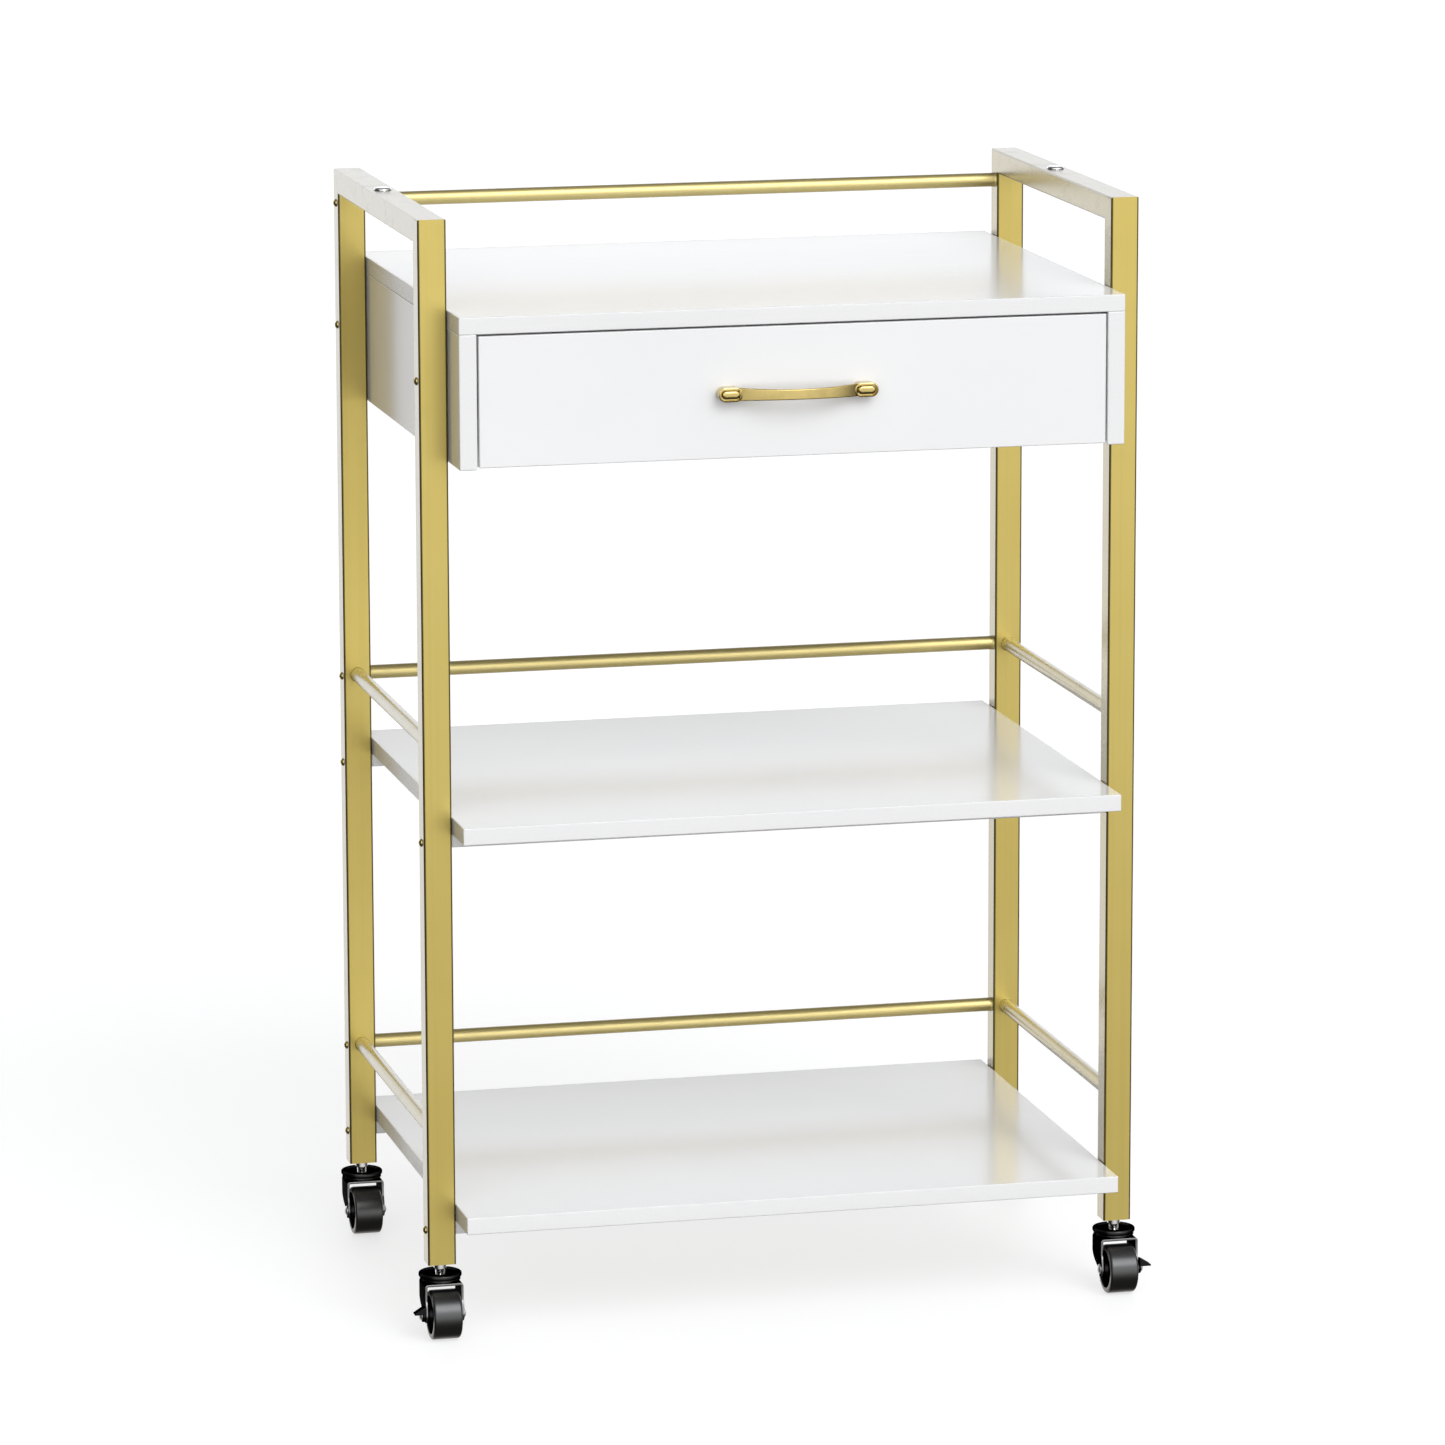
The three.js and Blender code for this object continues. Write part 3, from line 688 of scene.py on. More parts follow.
def side_frames():
    """Two upside-down U shapes of square tube with mitred corners and open feet."""
    names = ("front_post", "rear_post", "top_bar")
    lows, highs = zip(*(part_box(f"left_{name}") for name in names))
    low = Vector(min(corner[axis] for corner in lows) for axis in range(3))
    high = Vector(max(corner[axis] for corner in highs) for axis in range(3))
    deep = highs[0].y - lows[0].y
    under = high.z - deep

    def in_post(point):
        return min(point.y - low.y, high.y - point.y) < high.z - point.z

    def in_corner(point):
        return point.z > under and min(point.y - low.y, high.y - point.y) < deep

    def is_over_post(face):
        return face.normal.z < -0.9 and in_corner(middle(face) + Vector((0, 0, MM)))

    pattern = cube("side_tube_pattern", (low.x, low.y, under), high)
    open_mesh(pattern)
    cut((0, low.y + deep, 0), (0, 1, 0))
    cut((0, high.y - deep, 0), (0, 1, 0))
    choose(pattern, "faces", is_over_post)
    extrude(z=low.z - under)
    bpy.ops.mesh.inset(thickness=sizes().tube_wall)
    extrude(z=FOOT_DEPTH)
    for edge_y, lean in ((low.y, 1), (high.y, -1)):
        choose(pattern, "faces", lambda face: abs(face.normal.x) > 0.9 and in_corner(middle(face))
               and abs(middle(face).y - edge_y) < deep)
        bpy.ops.mesh.bisect(plane_co=(0, edge_y, high.z), plane_no=(0, lean, 1))

    def is_long_edge(edge):
        outside = all(min(abs(v.co.x - low.x), abs(v.co.x - high.x)) < CLOSE for v in edge.verts)
        at_foot = all(abs(v.co.z - low.z) < CLOSE for v in edge.verts)
        along = runs_along(edge, 1) or runs_along(edge, 2)
        return is_sharp(edge) and outside and along and not at_foot

    round_edges(pattern, sizes().tube_corner, is_long_edge, segments=4)
    pattern.data.materials.append(finish_named("gold_upright"))
    pattern.data.materials.append(finish_named("gold_fore_aft"))
    for face in pattern.data.polygons:
        face.material_index = 0 if in_post(face.center) else 1
    for side in SIDES:
        tube = copy_of(pattern, f"{side}_side_tube")
        settle(tube, (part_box(f"{side}_top_bar")[0].x - low.x, 0, 0))
        smooth(tube)
        place(tube, "frame", "gold_tube", None, *(f"{side}_{name}" for name in names))
    bpy.data.objects.remove(pattern)


def post_plugs():
    """The black plugs in the posts' open feet, with a flange and a sunk middle."""
    low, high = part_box("left_front_post")
    half = (high - low) / 2
    wall = sizes().tube_wall + PLUG_GAP
    plug = cube(
        "plug_pattern", (wall - half.x, wall - half.y, low.z + PLUG_SUNK),
        (half.x - wall, half.y - wall, low.z + PLUG_TOP))
    open_mesh(plug)
    choose(plug, "faces", lambda face: face.normal.z < -0.9)
    bpy.ops.mesh.inset(thickness=PLUG_FLANGE)
    bpy.ops.mesh.inset(thickness=0.6 * MM, depth=-PLUG_DISH)
    round_edges(plug, 0.4 * MM, is_crisp)
    fit_corners(plug, "post_plug", "frame", "black_plastic", "plug")


def rail(node, axis, finish):
    """A round rail with a small weld bead at each end."""
    low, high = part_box(node)
    half = (high[axis] - low[axis]) / 2
    radius = (high.z - low.z) / 2
    end = [(half - 3 * WELD_BEAD, radius), (half - 1.6 * WELD_BEAD, radius + 0.5 * WELD_BEAD),
           (half, radius + WELD_BEAD)]
    tube = turned(f"{node}_tube", mirrored(end) + end, 64)
    settle(tube, (low + high) / 2, ALONG_X if axis == 0 else ALONG_Y)
    smooth(tube, 50)
    place(tube, "frame", "gold_tube", finish, node)


# ---- boards ----

EDGE_BAND = 1.3 * MM
BAND_GROOVE = 0.15 * MM
BAND_GROOVE_DEPTH = 0.06 * MM


def board(node, body, finish="laminate", edge=None, faces=2, name="board"):
    """A board with a glued edge band and rounded edges; faces is the axis of its broad sides."""
    piece = cube(f"{node}_{name}", *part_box(node))
    open_mesh(piece)
    choose(piece, "faces", lambda face: abs(face.normal[faces]) > 0.9)
    bpy.ops.mesh.inset(thickness=EDGE_BAND)
    bpy.ops.mesh.inset(thickness=BAND_GROOVE, depth=-BAND_GROOVE_DEPTH)
    round_edges(piece, edge or sizes().board_edge, is_crisp)
    smooth(piece)
    place(piece, body, "white_board", finish, node)


# ---- drawer handle and runners ----

HANDLE_FOOT_LENGTH = 19.5 * MM
HANDLE_FOOT_REACH = 11 * MM
HANDLE_STRAP = 3.2 * MM
HANDLE_END_HEIGHT = 10.8 * MM
HANDLE_STEPS = 32
# How far the strap's ends run into the feet, sideways and backwards.
STRAP_TUCK = 3 * MM
STRAP_SINK = 1.5 * MM
# Just under half the foot's height, so that the roundings at its ends don't meet.
FOOT_ROUNDING = 0.497
# The foot's rim, from outside to inside: its bevel, its flat, the groove's wall and the groove.
RIM_BEVEL = 0.5 * MM
RIM_FLAT = 0.35 * MM
GROOVE_WALL = 0.2 * MM
GROOVE_WIDTH = 1.2 * MM
GROOVE_DEPTH = 3.6 * MM
CUSHION_WALL = 3.2 * MM
# How far each ring of the cushion's dome steps in and rises.
CUSHION_DOME = ((0.15 * MM, 0.45 * MM), (0.35 * MM, 0.4 * MM), (0.7 * MM, 0.4 * MM), (1.1 * MM, 0.25 * MM))

RUNNER_SHEET = 1.1 * MM
RUNNER_BEND = 1.6 * MM
# Where the screws sit, as shares of the runner's length.
RUNNER_SCREWS = (0.08, 0.5, 0.92)


def handle_foot(low, high):
    """A stadium-shaped foot whose face carries a raised cushion inside a groove."""
    half = HANDLE_FOOT_LENGTH / 2
    foot = cube("handle_foot", (-half, high.y - HANDLE_FOOT_REACH, low.z), (half, high.y, high.z))
    height = high.z - low.z
    open_mesh(foot)
    choose(foot, "edges", lambda edge: runs_along(edge, 1))
    bevel(height * FOOT_ROUNDING, 14)
    choose(foot, "faces", lambda face: face.normal.y < -0.9)
    bpy.ops.mesh.inset(thickness=RIM_BEVEL, depth=0.35 * MM)
    bpy.ops.mesh.inset(thickness=RIM_FLAT)
    bpy.ops.mesh.inset(thickness=GROOVE_WALL, depth=-GROOVE_DEPTH)
    bpy.ops.mesh.inset(thickness=GROOVE_WIDTH)
    extrude(y=-CUSHION_WALL)
    rim = 2 * (RIM_BEVEL + RIM_FLAT + GROOVE_WALL + GROOVE_WIDTH)
    long, tall = HANDLE_FOOT_LENGTH - rim, height - rim
    centre = (0, high.y, (low.z + high.z) / 2)
    for border, rise in CUSHION_DOME:
        extrude(y=-rise)
        resize((1 - 2 * border / long, 1, 1 - 2 * border / tall), centre)
        long, tall = long - 2 * border, tall - 2 * border
    bpy.ops.object.mode_set(mode="OBJECT")
    return foot


def drawer_handle():
    """Two feet and a strap that bows forward and narrows towards its middle."""
    low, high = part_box("drawer_handle")
    foot_x = (high.x - low.x - HANDLE_FOOT_LENGTH) / 2
    span = foot_x - HANDLE_FOOT_LENGTH / 2 + STRAP_TUCK
    rise = high.y - HANDLE_FOOT_REACH - low.y + STRAP_SINK
    radius = (span * span + rise * rise) / (2 * rise)
    sweep = math.asin(span / radius)
    centre = Vector((0, low.y + radius, (low.z + high.z) / 2))
    foot = handle_foot(low, high)
    other_foot = copy_of(foot, "handle_other_foot")
    settle(foot, location=(-foot_x, 0, 0))
    settle(other_foot, location=(foot_x, 0, 0))

    put_down()
    bpy.ops.mesh.primitive_plane_add(size=1, rotation=ALONG_X)
    strap = settle(named("handle_strap"))
    settle(strap, scale=(1, HANDLE_STRAP, HANDLE_END_HEIGHT))
    settle(strap, location=(0, HANDLE_STRAP / 2 - radius, 0))
    settle(strap, rotation=(0, 0, -sweep))
    settle(strap, location=centre)
    open_mesh(strap)
    bpy.ops.mesh.select_all(action="SELECT")
    bpy.ops.mesh.spin(steps=HANDLE_STEPS, angle=-2 * sweep, center=centre, axis=(0, 0, 1))
    face_outwards()
    for step in range(1, HANDLE_STEPS):
        turn = sweep * (2 * step / HANDLE_STEPS - 1)
        near = (turn / sweep) ** 2
        choose(strap, "verts", lambda vert: abs(
            math.atan2(vert.co.x, centre.y - vert.co.y) - turn) < sweep / HANDLE_STEPS)
        resize((1, 1, near + sizes().handle_waist * (1 - near)), centre)
    round_edges(strap, 0.9 * MM, is_crisp, segments=4)
    handle = joined([strap, foot, other_foot])
    handle.name = "drawer_bow_handle"
    smooth(handle, 40)
    place(handle, "drawer", "gold_cast", "bright_gold", "drawer_handle")


def screw_head(name, radius, rise, recess=0.0):
    """A round head that rises along +Z from its seat, with a cross recess if asked."""
    dome = [(rise * math.sin(turn), radius * math.cos(turn) ** 0.8)
            for turn in (math.radians(a) for a in (12, 28, 44, 58, 70, 80))]
    head = turned(name, [(-rise * 0.4, radius), (0, radius), *dome], 36)
    if recess:
        for wide, narrow in ((recess, recess / 4), (recess / 4, recess)):
            cutter = cube("cutter", (-wide, -narrow, rise * 0.35), (wide, narrow, rise * 2))
            pick_up(head)
            modifier = head.modifiers.new("recess", "BOOLEAN")
            modifier.operation = "DIFFERENCE"
            modifier.solver = "EXACT"
            modifier.object = cutter
            bpy.ops.object.modifier_apply(modifier=modifier.name)
            bpy.data.objects.remove(cutter)
    return head


def runner(node, body, opens):
    """A folded channel, open towards opens (-1 or 1 along X), with three pan-head screws."""
    low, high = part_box(node)
    channel = cube(f"{node}_channel", low, high)
    open_mesh(channel)
    choose(channel, "faces", lambda face: face.normal.x * opens > 0.9 or abs(face.normal.y) > 0.9)
    bpy.ops.mesh.delete(type="FACE")
    choose(channel, "edges", lambda edge: len(edge.link_faces) == 2)
    bevel(RUNNER_BEND, 4)
    thicken(channel, RUNNER_SHEET)
    web = low.x + RUNNER_SHEET if opens > 0 else high.x - RUNNER_SHEET
    pattern = screw_head("head_pattern", 3.2 * MM, 1.3 * MM)
    heads = []
    for share in RUNNER_SCREWS:
        head = copy_of(pattern, "head")
        settle(head, (web, low.y + share * (high.y - low.y), (low.z + high.z) / 2), facing_x(opens))
        heads.append(head)
    bpy.data.objects.remove(pattern)
    channel = joined([channel, *heads])
    smooth(channel, 40)
    place(channel, body, "zinc", "zinc", node)


# ---- bolts and screws of the frame ----

def bar_bolts():
    """A domed cap above and below each top bar."""
    low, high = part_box("left_bar_bolt")
    bar_low, bar_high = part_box("left_top_bar")
    radius, rise, shank = (high.x - low.x) / 2, high.z - bar_high.z, 3 * MM
    cap = [
        (0, shank), (0, radius - 0.3 * MM), (0.3 * MM, radius), (0.8 * MM, radius - 0.05 * MM),
        (rise * 0.66, radius * 0.93), (rise * 0.86, radius * 0.84), (rise * 0.96, radius * 0.72),
        (rise * 0.99, radius * 0.5),
    ]
    under = [(bar_low.z - bar_high.z - height, reach) for height, reach in reversed(cap)]
    pattern = turned("bolt_pattern", under + cap, 64)
    for side in SIDES:
        low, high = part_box(f"{side}_bar_bolt")
        bolt = copy_of(pattern, f"{side}_bar_bolt_turned")
        settle(bolt, ((low.x + high.x) / 2, (low.y + high.y) / 2, bar_high.z))
        smooth(bolt, 50)
        place(bolt, "frame", "chrome", "chrome", f"{side}_bar_bolt")
    bpy.data.objects.remove(pattern)


FRONT_SCREWS = {"cabinet": 791 * MM, "mid": 413 * MM, "low": 88.5 * MM}
REAR_SCREWS = {
    "bar": 894 * MM, "cabinet": 790.5 * MM, "mid_rail": 488 * MM, "mid": 413 * MM, "low_rail": 164 * MM,
    "low": 88 * MM,
}
SCREW_RECESS = 2.1 * MM


def post_screws():
    """The small round-head screws in the outer faces of the posts."""
    pattern = screw_head("screw_pattern", sizes().screw_head, sizes().screw_rise, SCREW_RECESS)
    for side, sign in zip(SIDES, (-1, 1)):
        for end, heights in (("front", FRONT_SCREWS), ("rear", REAR_SCREWS)):
            low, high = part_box(f"{side}_{end}_post")
            face = low.x if sign < 0 else high.x
            for turn, (level, height) in enumerate(heights.items()):
                screw = copy_of(pattern, f"{side}_{end}_{level}_screw")
                settle(screw, rotation=(0, 0, 0.5 * turn + 0.3))
                settle(screw, (face, (low.y + high.y) / 2, height), facing_x(sign))
                smooth(screw, 30)
                place(screw, "frame", "gold_cast", "bright_gold")
    bpy.data.objects.remove(pattern)


def handle_screws():
    """The two screws that hold the handle from inside the drawer front."""
    low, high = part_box("drawer_handle")
    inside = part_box("drawer_front")[1].y
    reach = (high.x - low.x - HANDLE_FOOT_LENGTH) / 2
    pattern = screw_head("handle_screw_pattern", 4 * MM, 2 * MM, 2.4 * MM)
    for side, sign in zip(SIDES, (-1, 1)):
        screw = copy_of(pattern, f"handle_{side}_screw")
        settle(screw, (sign * reach, inside, (low.z + high.z) / 2), Euler((-math.pi / 2, 0, 0)))
        smooth(screw, 30)
        place(screw, "drawer", "chrome", "zinc")
    bpy.data.objects.remove(pattern)


# ---- casters: what is alike at every corner is modelled once, about its own axis ----

STEM_SHAFT = 4 * MM
STEM_RIVET = 1.5 * MM
STEM_COLLAR = 5 * MM
THREAD_START = 13 * MM
THREAD_RINGS = 8
THREAD_DEPTH = 0.35 * MM

DISH_RACE = 16.8 * MM
DISH_BORE = 4.4 * MM
DISH_LIP = 1.1 * MM
RACE_GROOVE = 0.7 * MM

FORK_SKIRT = 13 * MM
FORK_FRONT = 18 * MM
FORK_TOE = 6.5 * MM
FORK_LEAN = 3.5 * MM
FORK_BEND = 2.4 * MM
FORK_SHEET = 2 * MM
FORK_STEPS = 8
# How sharply a leg's front and rear edges draw in below the skirt.
FORK_CURVES = (1.6, 2.2)
# Just short of a quarter turn, so that the toe's last row keeps a width.
TOE_SWEEP = math.radians(88)

AXLE_PIN = 2.5 * MM
RIVET_RISE = 2.4 * MM

WHEEL_BORE = 2.8 * MM
TREAD_HALF = 12 * MM
TREAD_EDGE = 2.2 * MM
TREAD_DEPTH = 4 * MM

PEDAL_RING = 2.4 * MM
WEDGE_FRONT = 9 * MM
WEDGE_REAR = 1 * MM
WEDGE_FOOT = 2.4 * MM
WEDGE_TOP = 8.6 * MM
# The way the wedge's sloping top faces, outward and up.
WEDGE_SLOPE = (0.53, 0.85)


def stems():
    """The threaded stems, with a riveted foot in the fork and a round collar under the post."""
    low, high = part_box("front_left_stem")
    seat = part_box("left_front_post")[0].z
    under = seat - STEM_COLLAR
    shaft, collar = STEM_SHAFT, (high.x - low.x) / 2
    thread = []
    for ring in range(THREAD_RINGS):
        height = seat - THREAD_START + ring * MM
        thread += [(height, shaft), (height + 0.5 * MM, shaft - THREAD_DEPTH)]
    profile = [
        (low.z, collar - 0.4 * MM), (low.z + 0.4 * MM, collar), (low.z + STEM_RIVET, collar),
        (low.z + STEM_RIVET, shaft), *thread, (under, shaft), (under, collar - 0.3 * MM),
        (under + 0.3 * MM, collar), (seat - 0.3 * MM, collar), (seat, collar - 0.3 * MM),
        (seat, shaft), (high.z - 1 * MM, shaft), (high.z, shaft - 1 * MM),
    ]
    pattern = turned("stem_pattern", profile, 48)
    fit_corners(pattern, "caster_stem", "frame", "chrome", "chrome", "stem")


def dishes():
    """The pressed bearing dishes with their ball race, rolled rim and sunk top."""
    low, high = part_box("front_left_dish")
    rim = (high.x - low.x) / 2
    lip, race = rim - DISH_LIP, DISH_RACE
    foot, top = low.z, high.z
    profile = [
        (foot, DISH_BORE), (foot, race - 0.4 * MM), (foot + 0.4 * MM, race), (foot + MM, race),
        *arc(foot + 1.6 * MM, race + 0.1 * MM, RACE_GROOVE, -100, -260, 6),
        (foot + 2.2 * MM, race),
        *arc(foot + 3.8 * MM, lip, DISH_LIP, -80, 0, 4),
        *arc(top - DISH_LIP, lip, DISH_LIP, 0, 130, 6),
        (top - 1.3 * MM, rim - 3.2 * MM), (top - 1.6 * MM, rim - 4.4 * MM), (top - 1.8 * MM, DISH_BORE),
        (foot, DISH_BORE),
    ]
    pattern = turned("dish_pattern", profile, 72)
    fit_corners(pattern, "bearing_dish", "swivel_head", "black_steel", "gloss_black", "dish")


def fork_rows(top, axle, rear):
    """Height, front and rear of each row of a leg, from the skirt's edge to the round toe."""
    trail = -WHEEL_TRAIL
    front_curve, rear_curve = FORK_CURVES
    skirt = top - FORK_SKIRT
    rows = [(skirt, -FORK_FRONT, rear)]
    for step in range(1, FORK_STEPS + 1):
        share = step / FORK_STEPS
        rows.append((skirt - share * (skirt - axle),
                     trail - FORK_TOE + (1 - share) ** front_curve * FORK_LEAN,
                     rear + (trail + FORK_TOE - rear) * share ** rear_curve))
    for step in range(1, FORK_STEPS + 1):
        turn = TOE_SWEEP * step / FORK_STEPS
        rows.append((axle - FORK_TOE * math.sin(turn), trail - FORK_TOE * math.cos(turn),
                     trail + FORK_TOE * math.cos(turn)))
    return rows


def forks():
    """Plates bent into two legs: one sheet is drawn row by row, then thickened."""
    low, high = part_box("front_left_fork")
    half = (high.x - low.x) / 2
    top, rear = high.z, high.y - caster_foot("front_left").y
    put_down()
    bpy.ops.mesh.primitive_plane_add(size=1)
    pattern = settle(named("fork_pattern"))
    settle(pattern, (0, (rear - FORK_FRONT) / 2, top), scale=(2 * half, rear + FORK_FRONT, 1))
    for edge_x in (-half, half):
        open_mesh(pattern)
        choose(pattern, "edges", lambda edge: all(abs(v.co.x - edge_x) < CLOSE for v in edge.verts))
        height, y_low, y_high = top, -FORK_FRONT, rear
        for next_height, next_low, next_high in fork_rows(top, wheel_centre("front_left").z, rear):
            extrude_edges((next_low + next_high - y_low - y_high) / 2, next_height - height)
            resize((1, (next_high - next_low) / (y_high - y_low), 1),
                   (edge_x, (next_low + next_high) / 2, next_height))
            height, y_low, y_high = next_height, next_low, next_high
        bpy.ops.object.mode_set(mode="OBJECT")
    open_mesh(pattern)
    face_outwards()
    choose(pattern, "edges", lambda edge: runs_along(edge, 1) and is_crisp(edge))
    bevel(FORK_BEND, 5)
    thicken(pattern, FORK_SHEET)
    round_edges(pattern, sizes().sheet_edge, is_crisp, segments=2)
    # The sheet's front-facing cut edges get the same painted highlight as its rounded edges.
    painted_front_highlight = pattern.data.attributes["edge"]
    for face in pattern.data.polygons:
        if face.normal.y < -0.8:
            painted_front_highlight.data[face.index].value = 1.0
    fit_corners(pattern, "caster_fork", "swivel_head", "black_steel", "gloss_black", "fork", angle=30)


def axle(corner):
    """The axle pin with a riveted dome at each end; a braked caster's is longer outside."""
    low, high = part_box(f"{corner}_axle")
    head = (high.z - low.z) / 2
    dome = [(0, AXLE_PIN), (0, head - 0.15 * MM), (0.15 * MM, head), (0.55 * MM, head),
            (1.2 * MM, head * 0.86), (1.7 * MM, head * 0.68), (2.1 * MM, head * 0.46),
            (RIVET_RISE, head * 0.2)]
    left = [(low.x + RIVET_RISE - height, radius) for height, radius in reversed(dome)]
    right = [(high.x - RIVET_RISE + height, radius) for height, radius in dome]
    piece = turned(f"{corner}_axle_pin", left + right, 48)
    settle(piece, (0, (low.y + high.y) / 2, (low.z + high.z) / 2), ALONG_X)
    smooth(piece, 40)
    place(piece, f"{corner}_swivel_head", "chrome", "rivet", f"{corner}_axle")


def wheels():
    """Moulded wheels: a tread with rounded edges, a sunk web and a hub boss."""
    low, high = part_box("front_left_wheel")
    radius, boss, half = (low.z + high.z) / 2, (high.x - low.x) / 2, TREAD_HALF
    web = half - 1.5 * MM
    side = [
        (boss, WHEEL_BORE), (boss, 5.6 * MM), (boss - 0.3 * MM, 6 * MM), (half - 1.2 * MM, 6.8 * MM),
        (web, 7.4 * MM), (web, radius - 6 * MM), (half - 1.2 * MM, radius - 5.4 * MM),
        (half - 0.3 * MM, radius - 4.9 * MM), (half, radius - 4.5 * MM), (half, radius - 2.4 * MM),
        *arc(half - TREAD_EDGE, radius - TREAD_EDGE, TREAD_EDGE, 84, 4, 6),
    ]
    pattern = turned("wheel_pattern", [*side, *mirrored(side), side[0]], 96)
    pattern.data.materials.append(finish_named("tread"))
    pattern.data.materials.append(finish_named("hub"))
    for face in pattern.data.polygons:
        reach = math.hypot(face.center.x, face.center.y)
        face.material_index = 0 if reach > radius - TREAD_DEPTH else 1
    fit_corners(pattern, "moulded_wheel", "roller", "black_plastic", None, "wheel",
                spot=wheel_centre, rotation=ALONG_X, angle=40)


def brake(side, sign):
    """The toe pedal: a ring round the axle and a wedge that points outward."""
    corner = f"front_{side}"
    low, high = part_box(f"{corner}_brake")
    axle_y, axle_z = wheel_centre(corner).yz
    root, tip = (high.x, low.x) if sign < 0 else (low.x, high.x)
    section = [
        (0, 2.9), (0, 5.2), (0.4, 5.6), (2.0, 5.6), (2.4, 5.2), (2.4, 4.7), (2.0, 4.3), (2.0, 2.9), (0, 2.9)]
    ring = turned(f"{corner}_brake_pedal", [(height * MM, radius * MM) for height, radius in section], 64)
    settle(ring, (root, axle_y, axle_z), facing_x(sign))
    wedge = cube("wedge", (min(root, tip), axle_y - WEDGE_FRONT, axle_z + WEDGE_FOOT),
                 (max(root, tip), axle_y - WEDGE_REAR, axle_z + WEDGE_TOP))
    open_mesh(wedge)
    bpy.ops.mesh.select_all(action="SELECT")
    bpy.ops.mesh.bisect(
        plane_co=(root + sign * PEDAL_RING, 0, axle_z + WEDGE_TOP - 0.4 * MM),
        plane_no=(sign * WEDGE_SLOPE[0], 0, WEDGE_SLOPE[1]), clear_outer=True, use_fill=True)
    round_edges(wedge, 0.45 * MM, lambda edge: is_sharp(edge, 0.5))
    pedal = joined([ring, wedge])
    pedal.name = f"{corner}_brake_pedal"
    smooth(pedal, 40)
    place(pedal, f"{corner}_pedal", "black_plastic", "hub", f"{corner}_brake")


# ---- stage: floor, light and camera ----

# Strengths of the studio's lights, and the shares that the lid and the side flags hold back.
KEY_LIGHT = 3.8
SOFT_BOX = 0.68
LOW_FRONT = 0.68
SWEEP = 0.95
SKY = 0.27
ROOM = 0.08
LID = 0.55
FLAGS = 0.85
GROUND_TINT = (1.0, 0.96, 0.89)
SKY_TINT = (0.99, 1.0, 1.02)
FLOOR_SIZE = 60
FLOOR_DROP = 0.3 * MM
FAR_END = 100


def world_light():
    """A white sweep behind, a key light and a soft box high in front, and dim sides and ground."""
    world = bpy.data.worlds.new("studio")
    world.use_nodes = True
    nodes = Nodes(world.node_tree)
    way = nodes.add("ShaderNodeTexCoord").outputs["Generated"]

    def towards(direction, start, full):
        dot = nodes.add(
            "ShaderNodeVectorMath", {"operation": "DOT_PRODUCT"},
            {0: way, 1: Vector(direction).normalized()})
        return Number(nodes, dot.outputs["Value"]).spread(start, full)

    height = towards((0, 0, 1), -0.42, 0.02)
    key_light = towards((0.21, -0.74, 0.64), 0.93, 0.985) * KEY_LIGHT
    soft_box = towards((0.1, -0.8, 0.6), 0.2, 0.92) * SOFT_BOX
    low_front = towards((0, -1, 0), 0.2, 0.8) * height * LOW_FRONT
    sweep = towards((0, 1, 0), 0.3, 0.85) * (1 - towards((0, 0, 1), 0.3, 0.6)) * SWEEP
    lid = towards((0, 0, 1), 0.45, 0.85)
    flags = towards((-1, 0, 0), 0.6, 0.85) + towards((1, 0, 0), 0.8, 0.97) * 0.4
    around = soft_box + low_front + sweep + height * SKY + ROOM
    strength = around * (1 - flags * FLAGS) * (1 - lid * LID) + key_light
    background = world.node_tree.nodes["Background"]
    nodes.feed(background.inputs["Strength"], strength)
    nodes.feed(background.inputs["Color"], nodes.blend(height, GROUND_TINT, SKY_TINT))
    bpy.context.scene.world = world


def studio():
    """The floor, the world's light and the camera."""
    put_down()
    bpy.ops.mesh.primitive_plane_add(size=FLOOR_SIZE, location=(0, 0, -FLOOR_DROP))
    floor = settle(named("studio_floor"))
    floor.data.materials.append(finish_named("floor"))
    floor.visible_glossy = False
    floor.visible_diffuse = False
    world_light()

    view = bpy.context.scene.stand_view
    ahead = Matrix.Rotation(-view.yaw, 3, "Z") @ Matrix.Rotation(-view.pitch, 3, "X")
    upright = ahead @ Matrix.Rotation(math.pi / 2, 3, "X")
    turn = upright @ Matrix.Rotation(view.roll, 3, "Z")
    camera_data = bpy.data.cameras.new("product_camera")
    camera = bpy.data.objects.new("product_camera", camera_data)
    bpy.context.scene.collection.objects.link(camera)
    camera.matrix_world = Matrix.Translation(view.place) @ turn.to_4x4()
    camera_data.sensor_width = SENSOR_WIDTH
    camera_data.lens = view.focal
    camera_data.clip_end = FAR_END
    bpy.context.scene.camera = camera
    bpy.context.scene.view_settings.view_transform = "Standard"


# ---- operators, one for each piece or group of like pieces ----

class StandOperator:
    bl_options = {"REGISTER", "UNDO"}


class STAND_OT_side_frames(StandOperator, bpy.types.Operator):
    """Build the two mitred side frames of square tube"""
    bl_idname = "stand.side_frames"
    bl_label = "Side frames"

    def execute(self, context):
        side_frames()
        return {"FINISHED"}


class STAND_OT_post_plugs(StandOperator, bpy.types.Operator):
    """Build the four plugs in the feet of the posts"""
    bl_idname = "stand.post_plugs"
    bl_label = "Post plugs"

    def execute(self, context):
        post_plugs()
        return {"FINISHED"}


class STAND_OT_rails(StandOperator, bpy.types.Operator):
    """Build the seven round rails"""
    bl_idname = "stand.rails"
    bl_label = "Rails"

    def execute(self, context):
        for level in LEVELS:
            rail(f"rear_{level}_rail", 0, "rail_across")
        for side in SIDES:
            for level in ("mid", "low"):
                rail(f"{side}_{level}_rail", 1, "rail_fore_aft")
        return {"FINISHED"}


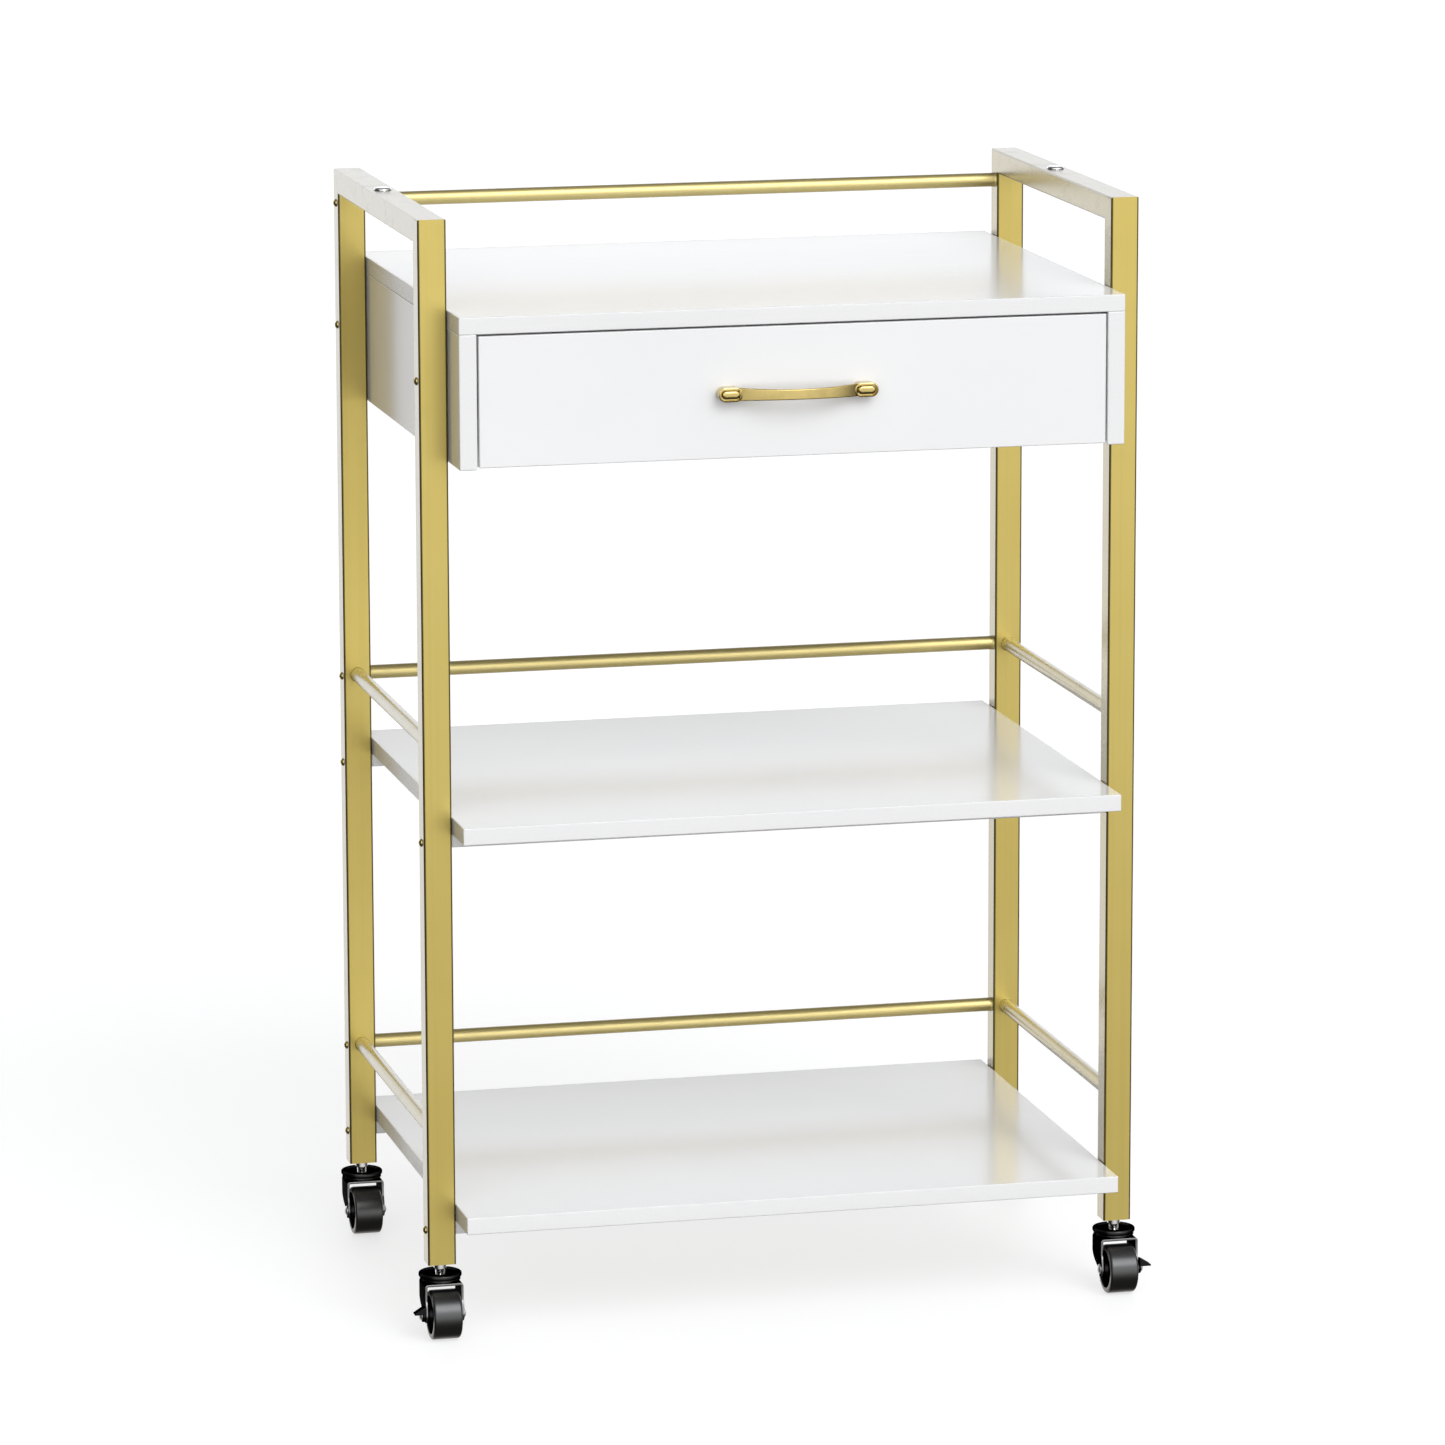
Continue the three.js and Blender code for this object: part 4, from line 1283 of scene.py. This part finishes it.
class STAND_OT_boards(StandOperator, bpy.types.Operator):
    """Build the top board, the two shelves and their battens"""
    bl_idname = "stand.boards"
    bl_label = "Boards"

    def execute(self, context):
        board("top_board", "frame")
        for level in ("mid", "low"):
            board(f"{level}_shelf", "frame")
            for end in ("front", "rear"):
                board(f"{level}_shelf_{end}_batten", "frame", name="strip")
        return {"FINISHED"}


class STAND_OT_cabinet(StandOperator, bpy.types.Operator):
    """Build the side and back panels of the cabinet"""
    bl_idname = "stand.cabinet"
    bl_label = "Cabinet panels"

    def execute(self, context):
        for side in SIDES:
            board(f"cabinet_{side}_panel", "frame", faces=0)
        board("cabinet_back_panel", "frame", faces=1)
        return {"FINISHED"}


class STAND_OT_drawer(StandOperator, bpy.types.Operator):
    """Build the drawer's front and box"""
    bl_idname = "stand.drawer"
    bl_label = "Drawer"

    def execute(self, context):
        edge = sizes().drawer_edge
        board("drawer_front", "drawer", edge=edge, faces=1)
        for side in SIDES:
            board(f"drawer_{side}_wall", "drawer", edge=edge, faces=0)
        board("drawer_back", "drawer", edge=edge, faces=1)
        board("drawer_bottom", "drawer", "drawer_floor", edge / 2)
        return {"FINISHED"}


class STAND_OT_handle(StandOperator, bpy.types.Operator):
    """Build the cast bow handle and its two screws"""
    bl_idname = "stand.handle"
    bl_label = "Drawer handle"

    def execute(self, context):
        drawer_handle()
        handle_screws()
        return {"FINISHED"}


class STAND_OT_runners(StandOperator, bpy.types.Operator):
    """Build the four channels of the drawer runners"""
    bl_idname = "stand.runners"
    bl_label = "Runners"

    def execute(self, context):
        for side, sign in zip(SIDES, (-1, 1)):
            runner(f"runner_{side}_cabinet", "frame", -sign)
            runner(f"runner_{side}_drawer", "drawer", sign)
        return {"FINISHED"}


class STAND_OT_bar_bolts(StandOperator, bpy.types.Operator):
    """Build the domed bolts through the top bars"""
    bl_idname = "stand.bar_bolts"
    bl_label = "Bar bolts"

    def execute(self, context):
        bar_bolts()
        return {"FINISHED"}


class STAND_OT_post_screws(StandOperator, bpy.types.Operator):
    """Build the small round-head screws on the posts"""
    bl_idname = "stand.post_screws"
    bl_label = "Post screws"

    def execute(self, context):
        post_screws()
        return {"FINISHED"}


class STAND_OT_swivels(StandOperator, bpy.types.Operator):
    """Build the casters' stems and bearing dishes"""
    bl_idname = "stand.swivels"
    bl_label = "Caster stems and dishes"

    def execute(self, context):
        stems()
        dishes()
        return {"FINISHED"}


class STAND_OT_forks(StandOperator, bpy.types.Operator):
    """Build the casters' forks and axle pins"""
    bl_idname = "stand.forks"
    bl_label = "Caster forks and axles"

    def execute(self, context):
        forks()
        for corner in CORNERS:
            axle(corner)
        return {"FINISHED"}


class STAND_OT_wheels(StandOperator, bpy.types.Operator):
    """Build the four moulded wheels"""
    bl_idname = "stand.wheels"
    bl_label = "Caster wheels"

    def execute(self, context):
        wheels()
        return {"FINISHED"}


class STAND_OT_brakes(StandOperator, bpy.types.Operator):
    """Build the toe pedals of the two front casters"""
    bl_idname = "stand.brakes"
    bl_label = "Caster brakes"

    def execute(self, context):
        for side, sign in zip(SIDES, (-1, 1)):
            brake(side, sign)
        return {"FINISHED"}


class STAND_OT_stage(StandOperator, bpy.types.Operator):
    """Set up the pale floor, the soft lights and the camera"""
    bl_idname = "stand.stage"
    bl_label = "Stage"

    def execute(self, context):
        studio()
        return {"FINISHED"}


PIECE_OPERATORS = (
    STAND_OT_side_frames, STAND_OT_post_plugs, STAND_OT_rails, STAND_OT_boards, STAND_OT_cabinet,
    STAND_OT_drawer, STAND_OT_handle, STAND_OT_runners, STAND_OT_bar_bolts, STAND_OT_post_screws,
    STAND_OT_swivels, STAND_OT_forks, STAND_OT_wheels, STAND_OT_brakes, STAND_OT_stage,
)


class STAND_PT_panel(bpy.types.Panel):
    """Lists the stand's sizes, colours and building steps"""
    bl_idname = "STAND_PT_panel"
    bl_label = "Printer stand"
    bl_space_type = "VIEW_3D"
    bl_region_type = "UI"
    bl_category = "Printer stand"

    def draw(self, context):
        scene = context.scene
        for group in (scene.stand_sizes, scene.stand_colours, scene.stand_view):
            box = self.layout.box()
            for name in group.__annotations__:
                box.prop(group, name)
        for operator in PIECE_OPERATORS:
            self.layout.operator(operator.bl_idname)


CLASSES = (StandSizes, StandColours, StandView, *PIECE_OPERATORS, STAND_PT_panel)


def register():
    for one in CLASSES:
        bpy.utils.register_class(one)
    bpy.types.Scene.stand_sizes = PointerProperty(type=StandSizes)
    bpy.types.Scene.stand_colours = PointerProperty(type=StandColours)
    bpy.types.Scene.stand_view = PointerProperty(type=StandView)


def unregister():
    del bpy.types.Scene.stand_sizes
    del bpy.types.Scene.stand_colours
    del bpy.types.Scene.stand_view
    for one in reversed(CLASSES):
        bpy.utils.unregister_class(one)


def main():
    register()
    for operator in PIECE_OPERATORS:
        getattr(bpy.ops.stand, operator.bl_idname.split(".")[1])()


if __name__ == "__main__":
    main()
